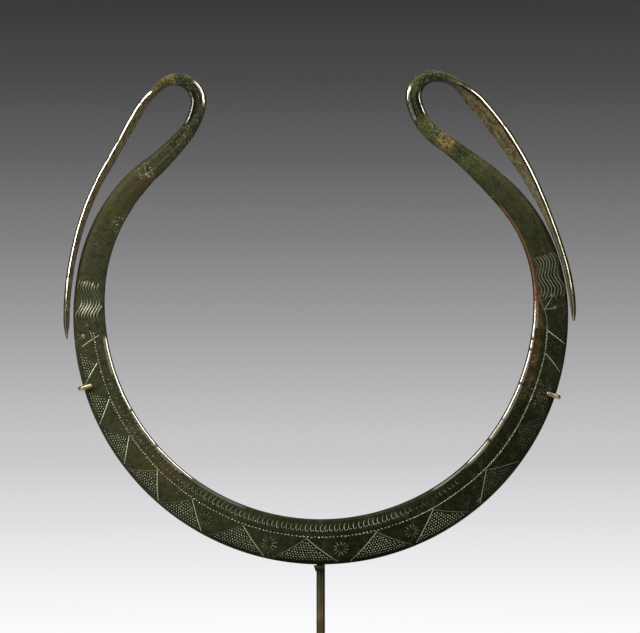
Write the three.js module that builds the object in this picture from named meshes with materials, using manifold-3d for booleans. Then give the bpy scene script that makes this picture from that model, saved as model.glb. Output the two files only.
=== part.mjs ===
// A hammered bronze torc (neck ring) standing upright on its display stand.
//
// Millimetres, +Z up. The origin is the middle of the foot's underside. The torc stands in the XZ
// plane, its engraved face towards -Y, and the stand's rods run behind it.
//
// The torc is one bar. It starts as the broad band of the neck ring, whose outline lies between two
// circles, narrows above the wearer's shoulders, curls outwards in a hairpin loop on each side, and
// comes back down outside the ring as a flat spike that stands on edge and ends in a point.
// Each half of the bar is described in coordinates of its own, with +X away from the middle:
//   length    distance along the centreline from the ring's lowest point
//   across    distance from the centreline, positive towards the ring's outside
//   depth     distance along Y, negative towards the engraved face

import * as THREE from 'three';
import { mergeVertices } from 'three/addons/utils/BufferGeometryUtils.js';
import Module from 'manifold-3d';

const wasm = await Module();
wasm.setup();

// ---- Driving dimensions ----

const CLEARANCE = 0.3; // between pieces that touch

const FOOT = { width: 100, depth: 64, height: 12, chamfer: 1.5, cornerRadius: 3 };

const STEM = { radius: 1.5, rise: 42 }; // rise: from the foot's top to the ring's lowest point
const BOW_RADIUS = 1.2;
const SEAT = { topWidth: 6, bottomWidth: 3.2, height: 2.6, reach: 1.4 };
const CLIP = { radius: 0.8, bend: 1.7, grip: 3.6 }; // grip: how far it laps over the face

const RING = {
  outerRadius: 86.6,
  innerRadius: 75.6,
  innerLift: 4.9, // the inner circle's centre lies this far above the outer circle's
  thickness: 4,
};
const RING_BASE = FOOT.height + STEM.rise;

// Where the engraved line runs that parts the two zones of ornament, as a share of the width.
const ZONE_SHARE = 0.39;
const ZONE_LINE = { halfWidth: 0.3, depth: 0.3, endAngle: 86 };
const BEVEL = 2.6; // width of the outer bevel

// The two halves of the bar. The ring's curve holds up to `shoulder` degrees from its lowest point.
// Then come tangent arcs, each [length, turn in degrees], where a negative turn curls outwards.
// `sections` gives the bar's section at distances beyond the shoulder:
// [distance, thickness in the ring's plane, depth, turn in degrees, roundness from 0 to 1].
// `swell` is extra width along the inner edge, which fades out beyond the shoulder.
const RIGHT = {
  side: 1,
  shoulder: 90,
  swell: 1.15,
  arcs: [[47.5, 46], [29.5, 12], [17, -44], [13, -106], [11, -40], [15, -8], [53, -20], [24, -17]],
  sections: [
    [0, 11.2, 4.0, 0, 0],
    [14, 10.5, 4.0, 0, 0],
    [43, 9.6, 3.8, 0, 0],
    [58, 8.1, 3.7, 0, 0.2],
    [70, 6.3, 3.7, 0, 0.9],
    [84, 5.6, 3.9, 0, 1],
    [97, 5.6, 4.2, 0, 1],
    [106, 4.2, 5.2, 2, 1],
    [114, 2.6, 7.2, 9, 1],
    [125, 1.9, 9.0, 30, 1],
    [134, 1.9, 9.1, 30.5, 1],
    [151, 1.9, 9.0, 24, 1],
    [175, 1.8, 8.2, 8, 1],
    [190, 1.8, 7.1, 5, 1],
    [204, 1.7, 4.8, 5, 1],
    [208, 1.3, 3.0, 5, 1],
    [210, 0.7, 1.2, 5, 1],
  ],
};
const LEFT = {
  side: -1,
  shoulder: 100,
  swell: 0,
  arcs: [[44.5, 42], [16, -10], [11.5, -29], [19.5, -141], [14, -21], [21.5, 1], [27.5, -16], [34.5, -17]],
  sections: [
    [0, 10.3, 3.9, 0, 0],
    [19, 9.8, 3.8, 0, 0],
    [30, 9.2, 3.8, 0, 0],
    [46, 7.5, 3.7, 0, 0.3],
    [57, 6.0, 3.7, 0, 0.9],
    [66, 5.3, 3.8, 0, 1],
    [74, 5.5, 4.1, 0, 1],
    [86, 4.3, 4.9, 1, 1],
    [92, 3.1, 6.2, 4, 1],
    [99, 2.1, 7.8, 9, 1],
    [108, 1.9, 8.6, 10.5, 1],
    [136, 1.8, 8.4, 7.5, 1],
    [167, 1.8, 7.0, 5, 1],
    [183, 1.7, 4.6, 5, 1],
    [187, 1.0, 2.6, 5, 1],
    [189, 0.35, 0.9, 5, 1],
  ],
};

// Engraved triangles: the angle of each apex round the ring, negative on the left. Each base spans
// `BASE_SHARE` of the mean distance to the neighbours.
const APEX_ANGLES = [
  -78.4, -68.8, -58.2, -46.8, -35.1, -20.5, -3.7, 14.6, 30.3, 47.3, 60.9, 71, 80.7, 86.5,
];
const BASE_SHARE = 0.43;
const LINE = { halfWidth: 0.3, depth: 0.32 }; // the engraved lines' V section
const APEX_OFFSET = 0.8; // from the zone line to the apex
const BASE_OFFSET = 0.8; // from the base to the outer edge

// Bands of wavy lines just above the shoulders, by height above the ring's lowest point.
const WAVES = { lines: 7, wavelength: 4.4, amplitude: 0.5, innerMargin: 1.3, outerMargin: 2.2 };
const WAVE_LINE = { halfWidth: 0.24, depth: 0.24 };
const WAVE_BANDS = [
  { half: RIGHT, bottom: 94, top: 109 },
  { half: LEFT, bottom: 85, top: 98.5 },
];

const CLIP_ANGLES = { left: 73.4, right: 71.4 };

// ---- Finishes ----

const BRONZE = new THREE.MeshStandardMaterial({ color: 0x3b3d28, roughness: 0.42, metalness: 0.85 });
const STAND_BRASS = new THREE.MeshStandardMaterial({ color: 0x5d5334, roughness: 0.5, metalness: 0.8 });
const CLIP_BRASS = new THREE.MeshStandardMaterial({ color: 0xa89363, roughness: 0.35, metalness: 0.9 });
const FOOT_PAINT = new THREE.MeshStandardMaterial({ color: 0x2a2a2b, roughness: 0.6, metalness: 0.2 });

// ---- Helpers ----

const radians = THREE.MathUtils.degToRad;
const lerp = THREE.MathUtils.lerp;
const smoothstep = THREE.MathUtils.smoothstep;

// The value at `x` of a smooth curve through rows sorted by their first entry, which doesn't
// overshoot between them. `column` says which entry is read.
function smoothColumn(rows, column, x) {
  const last = rows.length - 1;
  if (x <= rows[0][0]) return rows[0][column];
  if (x >= rows[last][0]) return rows[last][column];
  const slope = (i) => (rows[i + 1][column] - rows[i][column]) / (rows[i + 1][0] - rows[i][0]);
  const tangent = (i) => {
    if (i === 0 || i === last) return 0;
    const before = slope(i - 1);
    const after = slope(i);
    return before * after > 0 ? (2 * before * after) / (before + after) : 0;
  };
  const i = rows.findIndex((row) => row[0] > x) - 1;
  const step = rows[i + 1][0] - rows[i][0];
  const t = (x - rows[i][0]) / step;
  const t2 = t * t;
  const t3 = t2 * t;
  return (
    (2 * t3 - 3 * t2 + 1) * rows[i][column] +
    (t3 - 2 * t2 + t) * step * tangent(i) +
    (3 * t2 - 2 * t3) * rows[i + 1][column] +
    (t3 - t2) * step * tangent(i + 1)
  );
}

// A closed surface through closed sections that all have the same number of points, with a flat cap
// at each end. Seen along the path, each section's points run clockwise.
function loft(sections) {
  const count = sections[0].length;
  const middle = (points) =>
    points.reduce((sum, point) => sum.add(point), new THREE.Vector3()).divideScalar(points.length);
  const vertices = [...sections.flat(), middle(sections[0]), middle(sections.at(-1))];
  const startCentre = vertices.length - 2;
  const endCentre = vertices.length - 1;
  const lastSection = (sections.length - 1) * count;
  const index = [];
  for (let j = 0; j < count; j++) {
    const next = (j + 1) % count;
    for (let base = 0; base < lastSection; base += count) {
      index.push(base + j, base + next, base + count + next);
      index.push(base + j, base + count + next, base + count + j);
    }
    index.push(startCentre, next, j);
    index.push(endCentre, lastSection + j, lastSection + next);
  }
  const geometry = new THREE.BufferGeometry().setFromPoints(vertices);
  geometry.setIndex(index);
  return geometry;
}

function toSolid(geometry) {
  const plain = new THREE.BufferGeometry();
  plain.setAttribute('position', geometry.getAttribute('position'));
  plain.setIndex(geometry.getIndex());
  const merged = mergeVertices(plain, 1e-4);
  return new wasm.Manifold(
    new wasm.Mesh({
      numProp: 3,
      vertProperties: merged.getAttribute('position').array,
      triVerts: new Uint32Array(merged.getIndex().array),
    }),
  );
}

function toGeometry(solid) {
  const mesh = solid.getMesh();
  const geometry = new THREE.BufferGeometry();
  geometry.setAttribute('position', new THREE.BufferAttribute(mesh.vertProperties, 3));
  geometry.setIndex(new THREE.BufferAttribute(mesh.triVerts, 1));
  return geometry;
}

function namedMesh(name, geometry, material) {
  const faceted = geometry.toNonIndexed();
  faceted.computeVertexNormals();
  const mesh = new THREE.Mesh(faceted, material);
  mesh.name = name;
  return mesh;
}

// ---- The bar's centreline ----

// The ring's inner radius measured from the outer circle's centre, at an angle from the lowest point.
function innerRadiusAt(angle) {
  const lift = -Math.cos(angle) * RING.innerLift;
  return lift + Math.sqrt(RING.innerRadius ** 2 - RING.innerLift ** 2 + lift ** 2);
}

function ringPoint(angle) {
  const radius = (RING.outerRadius + innerRadiusAt(angle)) / 2;
  return { x: Math.sin(angle) * radius, z: RING.outerRadius - Math.cos(angle) * radius };
}

// Closely spaced points of one half's centreline: { x, z, heading, length, beyond }, with z above the
// ring's lowest point, heading from +X in radians, and beyond measured from the shoulder.
function traceHalf(half) {
  const ANGLE_STEP = radians(0.5);
  const ARC_STEP = 0.5;
  const shoulder = radians(half.shoulder);
  const points = [];
  let length = 0;
  const ringSteps = Math.round(shoulder / ANGLE_STEP);
  for (let i = 0; i <= ringSteps; i++) {
    const angle = (i / ringSteps) * shoulder;
    const here = ringPoint(angle);
    const ahead = ringPoint(angle + 1e-4);
    if (i > 0) length += Math.hypot(here.x - points.at(-1).x, here.z - points.at(-1).z);
    points.push({ ...here, heading: Math.atan2(ahead.z - here.z, ahead.x - here.x), length });
  }
  const ringLength = length;
  for (const [arcLength, turn] of half.arcs) {
    const steps = Math.ceil(arcLength / ARC_STEP);
    const step = arcLength / steps;
    for (let i = 0; i < steps; i++) {
      const from = points.at(-1);
      const halfTurn = radians(turn) / steps / 2;
      const direction = from.heading + halfTurn;
      length += step;
      points.push({
        x: from.x + step * Math.cos(direction),
        z: from.z + step * Math.sin(direction),
        heading: from.heading + 2 * halfTurn,
        length,
      });
    }
  }
  for (const point of points) point.beyond = point.length - ringLength;
  return points;
}

RIGHT.trace = traceHalf(RIGHT);
LEFT.trace = traceHalf(LEFT);

// The centreline's frame where `key` (length, beyond or z) reaches a value, between traced points.
function frameAt(half, key, value) {
  const found = half.trace.findIndex((point) => point[key] >= value);
  const after = Math.max(found < 0 ? half.trace.length - 1 : found, 1);
  const a = half.trace[after - 1];
  const b = half.trace[after];
  const t = THREE.MathUtils.clamp((value - a[key]) / (b[key] - a[key]), 0, 1);
  const between = {};
  for (const name of Object.keys(a)) between[name] = lerp(a[name], b[name], t);
  return between;
}

// The angle round the ring of a frame, from the lowest point.
const angleOf = (frame) => Math.atan2(frame.x, RING.outerRadius - frame.z);

// ---- The bar's section ----

// The bar's measures at a frame: distances from the centreline to both edges, depth, and so on.
function measuresAt(half, frame) {
  const read = (column) => smoothColumn(half.sections, column, frame.beyond);
  const SWELL_START = 35; // degrees
  const SWELL_FULL = 80;
  const SWELL_FADE = 38; // beyond the shoulder
  if (frame.beyond <= 0) {
    const angle = angleOf(frame);
    const width = RING.outerRadius - innerRadiusAt(angle);
    const degrees = THREE.MathUtils.radToDeg(angle);
    const swell = half.swell * smoothstep(degrees, SWELL_START, SWELL_FULL);
    return { inner: width / 2 + swell, outer: width / 2, depth: RING.thickness, turn: 0, roundness: 0 };
  }
  const thickness = read(1);
  const swell = half.swell * (1 - smoothstep(frame.beyond, 0, SWELL_FADE));
  return {
    inner: thickness / 2 + swell,
    outer: thickness / 2,
    depth: read(2),
    turn: radians(read(3)),
    roundness: read(4),
  };
}

// Across-and-depth points of the ring's band: a rounded inner edge, a front of two soft facets that
// meet at the zone line, an outer bevel down to a thin edge, and a flatter back.
function bandSection({ inner, outer, depth }, grooveDepth) {
  const h = depth / 2;
  const zone = lerp(-inner, outer, ZONE_SHARE);
  return [
    [-inner, 0],
    [-inner + 0.25, -0.42 * h],
    [-inner + 0.9, -0.66 * h],
    [zone - ZONE_LINE.halfWidth, -0.98 * h],
    [zone, grooveDepth - h],
    [zone + ZONE_LINE.halfWidth, -h],
    [outer - BEVEL, -0.88 * h],
    [outer - BEVEL / 2, -0.62 * h],
    [outer - 0.2, -0.28 * h],
    [outer, 0],
    [outer - 0.2, 0.25 * h],
    [outer - BEVEL, 0.75 * h],
    [0, 0.95 * h],
    [-inner + 1.2, 0.75 * h],
    [-inner + 0.25, 0.4 * h],
  ];
}

// Where the same points lie round an oval section, in degrees from its inner side, front first.
const OVAL_ANGLES = [0, 22, 42, 76, 86, 96, 124, 144, 162, 180, 202, 236, 270, 306, 336];
const OVAL_POWER = 0.74; // below 1 flattens the oval's sides

function ovalSection({ inner, outer, depth }) {
  const spread = (value) => Math.sign(value) * Math.abs(value) ** OVAL_POWER;
  return OVAL_ANGLES.map((degrees) => {
    const angle = radians(degrees);
    const radius = (inner + outer) / 2;
    const middle = (outer - inner) / 2;
    return [middle - radius * spread(Math.cos(angle)), (-depth / 2) * spread(Math.sin(angle))];
  });
}

// The point of space at a frame, `across` and `depth` in the ring's own directions.
function toSpace(half, frame, across, depth) {
  const x = frame.x + across * Math.sin(frame.heading);
  const z = frame.z - across * Math.cos(frame.heading);
  return new THREE.Vector3(half.side * x, depth, RING_BASE + z);
}

function barSection(half, frame) {
  const measures = measuresAt(half, frame);
  const endLength = radians(ZONE_LINE.endAngle) * RING.innerRadius;
  const groove = ZONE_LINE.depth * (1 - smoothstep(frame.length, endLength, endLength + 8));
  const band = bandSection(measures, groove);
  const oval = ovalSection(measures);
  const cos = Math.cos(measures.turn);
  const sin = Math.sin(measures.turn);
  return band.map(([bandAcross, bandDepth], i) => {
    const across = lerp(bandAcross, oval[i][0], measures.roundness);
    const depth = lerp(bandDepth, oval[i][1], measures.roundness);
    return toSpace(half, frame, across * cos + depth * sin, depth * cos - across * sin);
  });
}

// Lengths at which sections stand: close together where the bar curls, further apart elsewhere.
function sectionLengths(half) {
  const LONGEST_STEP = 5;
  const LARGEST_TURN = radians(11);
  const end = half.trace.at(-1).length;
  const lengths = [];
  let length = 0;
  while (length < end) {
    lengths.push(length);
    const turn = Math.abs(frameAt(half, 'length', length + 1).heading - frameAt(half, 'length', length).heading);
    length += Math.min(LONGEST_STEP, LARGEST_TURN / Math.max(turn, 1e-3));
  }
  lengths.push(end);
  return lengths;
}

function makeBar() {
  const sectionsOf = (half) =>
    sectionLengths(half).map((length) => barSection(half, frameAt(half, 'length', length)));
  const left = sectionsOf(LEFT).slice(1).reverse();
  return toSolid(loft([...left, ...sectionsOf(RIGHT)]));
}

// ---- Engraved lines ----

// How deep the front surface lies at a distance across the band.
function frontDepth(half, frame, across) {
  const profile = bandSection(measuresAt(half, frame), 0).slice(0, 10);
  const next = Math.max(profile.findIndex((point) => point[0] >= across), 1);
  const [fromAcross, fromDepth] = profile[next - 1];
  const [toAcross, toDepth] = profile[next];
  return lerp(fromDepth, toDepth, (across - fromAcross) / (toAcross - fromAcross));
}

// A V-shaped cutter along points of the front surface, reaching out in front of it.
function grooveCutter(points, { halfWidth, depth }) {
  const REACH = 1.5; // how far the cutter stands out, in groove depths
  const topHalfWidth = halfWidth * (1 + REACH);
  const sections = points.map((point, i) => {
    const before = points[Math.max(i - 1, 0)];
    const after = points[Math.min(i + 1, points.length - 1)];
    const along = after.clone().sub(before).setY(0).normalize();
    const sideways = new THREE.Vector3(along.z, 0, -along.x).multiplyScalar(topHalfWidth);
    const top = point.clone().setY(point.y - REACH * depth);
    return [top.clone().sub(sideways), top.clone().add(sideways), point.clone().setY(point.y + depth)];
  });
  return toSolid(loft(sections));
}

function ringSurfacePoint(signedAngle, across) {
  const half = signedAngle < 0 ? LEFT : RIGHT;
  const angle = radians(Math.abs(signedAngle));
  const onRing = half.trace.find((point) => angleOf(point) >= angle) ?? half.trace.at(-1);
  const frame = frameAt(half, 'length', onRing.length);
  const { inner, outer } = measuresAt(half, frame);
  const distance = across({ inner, outer });
  return toSpace(half, frame, distance, frontDepth(half, frame, distance));
}

function triangleCutters() {
  return APEX_ANGLES.flatMap((apex, i) => {
    const before = APEX_ANGLES[i - 1] ?? 2 * apex - APEX_ANGLES[i + 1];
    const after = APEX_ANGLES[i + 1] ?? 2 * apex - APEX_ANGLES[i - 1];
    const halfBase = (BASE_SHARE * (after - before)) / 2;
    const start = ringSurfacePoint(apex, ({ inner, outer }) => lerp(-inner, outer, ZONE_SHARE) + APEX_OFFSET);
    return [-halfBase, halfBase].map((offset) => {
      const bevelShare = 0.72; // how much of the line lies on the flat of the face
      const bend = ringSurfacePoint(apex + offset * bevelShare, ({ outer }) => outer - BEVEL);
      const end = ringSurfacePoint(apex + offset, ({ outer }) => outer - BASE_OFFSET);
      return grooveCutter([start, bend, end], LINE);
    });
  });
}

function waveCutters({ half, bottom, top }) {
  const from = frameAt(half, 'z', bottom).length;
  const to = frameAt(half, 'z', top).length;
  const halfWaves = Math.round((2 * (to - from)) / WAVES.wavelength);
  const cutters = [];
  for (let line = 0; line < WAVES.lines; line++) {
    const points = [];
    for (let i = 0; i <= halfWaves; i++) {
      const frame = frameAt(half, 'length', lerp(from, to, i / halfWaves));
      const { inner, outer } = measuresAt(half, frame);
      const share = line / (WAVES.lines - 1);
      const middle = lerp(-inner + WAVES.innerMargin, outer - WAVES.outerMargin, share);
      const across = middle + WAVES.amplitude * (i % 2 ? 1 : -1);
      points.push(toSpace(half, frame, across, frontDepth(half, frame, across)));
    }
    cutters.push(grooveCutter(points, WAVE_LINE));
  }
  return cutters;
}

function makeTorc() {
  const cutters = [...triangleCutters(), ...WAVE_BANDS.flatMap(waveCutters)];
  const engraved = cutters.reduce((solid, cutter) => solid.subtract(cutter), makeBar());
  return namedMesh('torc', toGeometry(engraved), BRONZE);
}

// ---- The stand ----

// A round rod along a curve. Its ends are domed where `domed` is true, and flat otherwise.
function rod(name, curve, radius, { steps, sides, domed, material }) {
  const frames = curve.computeFrenetFrames(steps);
  const length = curve.getLength();
  const sections = [];
  for (let i = 0; i <= steps; i++) {
    const centre = curve.getPointAt(i / steps);
    const fromEnd = (Math.min(i, steps - i) / steps) * length;
    const intoDome = Math.max(0, 1 - fromEnd / radius);
    const here = domed ? radius * Math.sqrt(Math.max(1 - intoDome ** 2, 0.08)) : radius;
    const section = [];
    for (let j = 0; j < sides; j++) {
      const angle = (2 * Math.PI * j) / sides;
      section.push(
        centre
          .clone()
          .addScaledVector(frames.normals[i], here * Math.cos(angle))
          .addScaledVector(frames.binormals[i], here * Math.sin(angle)),
      );
    }
    sections.push(section);
  }
  return namedMesh(name, loft(sections), material);
}

// The rods lie in one plane behind the ring.
const ROD_DEPTH = RING.thickness / 2 + CLEARANCE + STEM.radius;

class BowCurve extends THREE.Curve {
  getPoint(t, target = new THREE.Vector3()) {
    const endGap = (CLIP.radius + CLEARANCE) / RING.innerRadius;
    const from = -radians(CLIP_ANGLES.left) + endGap;
    const to = radians(CLIP_ANGLES.right) - endGap;
    const angle = lerp(from, to, t);
    const { x, z } = ringPoint(Math.abs(angle));
    return target.set(Math.sign(angle) * x, ROD_DEPTH, RING_BASE + z);
  }
}

function makeBow() {
  return rod('bow', new BowCurve(), BOW_RADIUS, { steps: 30, sides: 10, domed: false, material: STAND_BRASS });
}

function makeStem() {
  const top = RING_BASE + ringPoint(0).z - BOW_RADIUS - CLEARANCE;
  const bottom = FOOT.height + CLEARANCE;
  const curve = new THREE.LineCurve3(
    new THREE.Vector3(0, ROD_DEPTH, bottom),
    new THREE.Vector3(0, ROD_DEPTH, top),
  );
  return rod('stem', curve, STEM.radius, { steps: 4, sides: 16, domed: false, material: STAND_BRASS });
}

// A small wedge on the stem's front, on which the ring's lowest point rests.
function makeSeat() {
  const top = RING_BASE - CLEARANCE;
  const back = ROD_DEPTH - STEM.radius - CLEARANCE;
  const outline = [
    [-SEAT.topWidth / 2, 0],
    [SEAT.topWidth / 2, 0],
    [SEAT.bottomWidth / 2, -SEAT.height],
    [-SEAT.bottomWidth / 2, -SEAT.height],
  ];
  const slice = (depth, shrink) =>
    outline.map(([x, z]) => new THREE.Vector3(x * shrink, depth, top + z * shrink));
  return namedMesh('seat', loft([slice(-SEAT.reach, 0.7), slice(0, 1), slice(back, 1)]), STAND_BRASS);
}

// A wire hook from the bow's end outwards behind the ring, round its edge and onto its face.
function makeClip(name, side, degrees) {
  const angle = radians(degrees);
  const outward = new THREE.Vector3(side * Math.sin(angle), 0, -Math.cos(angle));
  const centre = new THREE.Vector3(0, 0, RING_BASE + RING.outerRadius);
  const at = (radius, depth) => centre.clone().addScaledVector(outward, radius).setY(depth);
  const { x, z } = ringPoint(angle);
  const bowRadius = Math.hypot(x, RING.outerRadius - z);
  const beyondEdge = RING.outerRadius + CLEARANCE + CLIP.radius;
  const front = -(RING.thickness / 2 + CLEARANCE + CLIP.radius);
  const { bend } = CLIP;
  const path = new THREE.CurvePath();
  path.add(new THREE.LineCurve3(at(bowRadius - CLIP.radius, ROD_DEPTH), at(beyondEdge - bend, ROD_DEPTH)));
  path.add(
    new THREE.QuadraticBezierCurve3(
      at(beyondEdge - bend, ROD_DEPTH),
      at(beyondEdge, ROD_DEPTH),
      at(beyondEdge, ROD_DEPTH - bend),
    ),
  );
  path.add(new THREE.LineCurve3(at(beyondEdge, ROD_DEPTH - bend), at(beyondEdge, front + bend)));
  path.add(
    new THREE.QuadraticBezierCurve3(
      at(beyondEdge, front + bend),
      at(beyondEdge, front),
      at(beyondEdge - bend, front),
    ),
  );
  path.add(
    new THREE.LineCurve3(at(beyondEdge - bend, front), at(RING.outerRadius - CLIP.grip, front)),
  );
  return rod(name, path, CLIP.radius, { steps: 36, sides: 8, domed: true, material: CLIP_BRASS });
}

function makeFoot() {
  const { width, depth, height, chamfer, cornerRadius } = FOOT;
  const x = width / 2 - chamfer;
  const y = depth / 2 - chamfer;
  const outline = new THREE.Shape();
  outline.moveTo(-x + cornerRadius, -y);
  outline.lineTo(x - cornerRadius, -y);
  outline.absarc(x - cornerRadius, -y + cornerRadius, cornerRadius, -Math.PI / 2, 0);
  outline.lineTo(x, y - cornerRadius);
  outline.absarc(x - cornerRadius, y - cornerRadius, cornerRadius, 0, Math.PI / 2);
  outline.lineTo(-x + cornerRadius, y);
  outline.absarc(-x + cornerRadius, y - cornerRadius, cornerRadius, Math.PI / 2, Math.PI);
  outline.lineTo(-x, -y + cornerRadius);
  outline.absarc(-x + cornerRadius, -y + cornerRadius, cornerRadius, Math.PI, 1.5 * Math.PI);
  const geometry = new THREE.ExtrudeGeometry(outline, {
    depth: height - 2 * chamfer,
    bevelThickness: chamfer,
    bevelSize: chamfer,
    bevelSegments: 1,
    curveSegments: 4,
  });
  geometry.translate(0, 0, chamfer);
  const mesh = new THREE.Mesh(geometry, FOOT_PAINT);
  mesh.name = 'foot';
  return mesh;
}

// ---- Assembly ----

const group = new THREE.Group();
group.add(
  makeTorc(),
  makeBow(),
  makeStem(),
  makeSeat(),
  makeClip('clip_left', -1, CLIP_ANGLES.left),
  makeClip('clip_right', 1, CLIP_ANGLES.right),
  makeFoot(),
);

export default group;
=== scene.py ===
import bmesh
import bpy
import numpy as np
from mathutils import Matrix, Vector
from mathutils.geometry import delaunay_2d_cdt


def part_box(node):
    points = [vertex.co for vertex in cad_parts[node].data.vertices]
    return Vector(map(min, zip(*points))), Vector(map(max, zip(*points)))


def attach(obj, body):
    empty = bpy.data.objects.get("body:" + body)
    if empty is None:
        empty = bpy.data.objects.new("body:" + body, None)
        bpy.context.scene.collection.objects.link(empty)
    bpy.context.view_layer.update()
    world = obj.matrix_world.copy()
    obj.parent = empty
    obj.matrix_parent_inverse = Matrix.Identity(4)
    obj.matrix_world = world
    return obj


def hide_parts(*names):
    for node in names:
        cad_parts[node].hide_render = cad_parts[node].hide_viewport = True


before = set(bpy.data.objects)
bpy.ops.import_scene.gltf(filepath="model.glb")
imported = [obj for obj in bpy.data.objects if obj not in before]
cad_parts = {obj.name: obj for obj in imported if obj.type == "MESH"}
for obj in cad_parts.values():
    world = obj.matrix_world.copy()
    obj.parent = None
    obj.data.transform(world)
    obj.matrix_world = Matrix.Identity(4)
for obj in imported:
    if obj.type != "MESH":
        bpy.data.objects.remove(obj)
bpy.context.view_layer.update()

MM = 0.001  # the sizes below are in millimetres, as on the bench drawing

# ---- The bar -------------------------------------------------------------------------------
# The torc is one hammered bronze bar: a broad band round the neck, two hairpin loops, and two
# flat spikes that come down outside the ring. The band's outline lies between two circles.
# Cast as a rod, hammered out, bent to shape and scraped smooth before it was engraved.

ring_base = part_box("torc")[0][2] / MM
OUTER_RADIUS = 86.6
INNER_RADIUS = 75.6
INNER_LIFT = 4.9  # the inner circle's centre lies this far above the outer circle's
BAND_DEPTH = 4.0
ZONE_SHARE = 0.39  # the line between the two zones of ornament, as a share of the width
BEVEL = 2.6
SWELL_ANGLES = (35, 80)
SWELL_FADE = 38

# Each half: the ring's curve up to the shoulder, then tangent arcs [length, turn in degrees],
# a negative turn curling outwards. The sections beyond the shoulder give
# [distance, thickness in the ring's plane, depth, turn in degrees, roundness from 0 to 1].
RIGHT = {
    "side": 1,
    "shoulder": 90,
    "swell": 1.15,
    "arcs": [[47.5, 46], [29.5, 12], [17, -44], [13, -106], [11, -40], [15, -8], [53, -20], [24, -17]],
    "sections": [
        [0, 11.2, 4.0, 0, 0],
        [14, 10.5, 4.0, 0, 0],
        [43, 9.6, 3.8, 0, 0],
        [58, 8.1, 3.7, 0, 0.2],
        [70, 6.3, 3.7, 0, 0.9],
        [84, 5.6, 3.9, 0, 1],
        [97, 5.6, 4.2, 0, 1],
        [106, 4.2, 5.2, 2, 1],
        [114, 2.6, 7.2, 9, 1],
        [125, 1.9, 9.0, 30, 1],
        [134, 1.9, 9.1, 30.5, 1],
        [151, 1.9, 9.0, 24, 1],
        [175, 1.8, 8.2, 8, 1],
        [190, 1.8, 7.1, 5, 1],
        [204, 1.7, 4.8, 5, 1],
        [208, 1.3, 3.0, 5, 1],
        [210, 0.7, 1.2, 5, 1],
    ],
}
LEFT = {
    "side": -1,
    "shoulder": 100,
    "swell": 0,
    "arcs": [
        [44.5, 42], [16, -10], [11.5, -29], [19.5, -141], [14, -21], [21.5, 1], [27.5, -16], [34.5, -17],
    ],
    "sections": [
        [0, 10.3, 3.9, 0, 0],
        [19, 9.8, 3.8, 0, 0],
        [30, 9.2, 3.8, 0, 0],
        [46, 7.5, 3.7, 0, 0.3],
        [57, 6.0, 3.7, 0, 0.9],
        [66, 5.3, 3.8, 0, 1],
        [74, 5.5, 4.1, 0, 1],
        [86, 4.3, 4.9, 1, 1],
        [92, 3.1, 6.2, 4, 1],
        [99, 2.1, 7.8, 9, 1],
        [108, 1.9, 8.6, 10.5, 1],
        [136, 1.8, 8.4, 7.5, 1],
        [167, 1.8, 7.0, 5, 1],
        [183, 1.7, 4.6, 5, 1],
        [187, 1.0, 2.6, 5, 1],
        [189, 0.35, 0.9, 5, 1],
    ],
}


def smooth_through(knots, values, at):
    """A monotone cubic through (knots, values) along the last axis, read at the places `at`.

    The slope at a knot is the harmonic mean of the slopes beside it, and zero at a turning point.
    """
    steps = np.diff(knots)
    slopes = np.diff(values, axis=-1) / steps
    before, after = slopes[..., :-1], slopes[..., 1:]
    same_way = before * after > 0
    inside = np.where(same_way, 2 * before * after / np.where(same_way, before + after, 1), 0)
    end = np.zeros(inside.shape[:-1] + (1,))
    tangents = np.concatenate([end, inside, end], axis=-1)
    i = np.clip(np.searchsorted(knots, at, side="right") - 1, 0, len(knots) - 2)
    t = np.clip((at - knots[i]) / steps[i], 0, 1)
    t2, t3 = t * t, t * t * t
    return (
        (2 * t3 - 3 * t2 + 1) * values[..., i]
        + (t3 - 2 * t2 + t) * steps[i] * tangents[..., i]
        + (3 * t2 - 2 * t3) * values[..., i + 1]
        + (t3 - t2) * steps[i] * tangents[..., i + 1]
    )


def ease(value, start, end):
    """0 up to start, 1 from end on, and 3t^2 - 2t^3 between them."""
    t = np.clip((value - start) / (end - start), 0, 1)
    return t * t * (3 - 2 * t)


def inner_radius_at(angle):
    """The inner circle's distance from the outer circle's centre, at an angle from the lowest point."""
    lift = -np.cos(angle) * INNER_LIFT
    return lift + np.sqrt(INNER_RADIUS**2 - INNER_LIFT**2 + lift**2)


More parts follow.
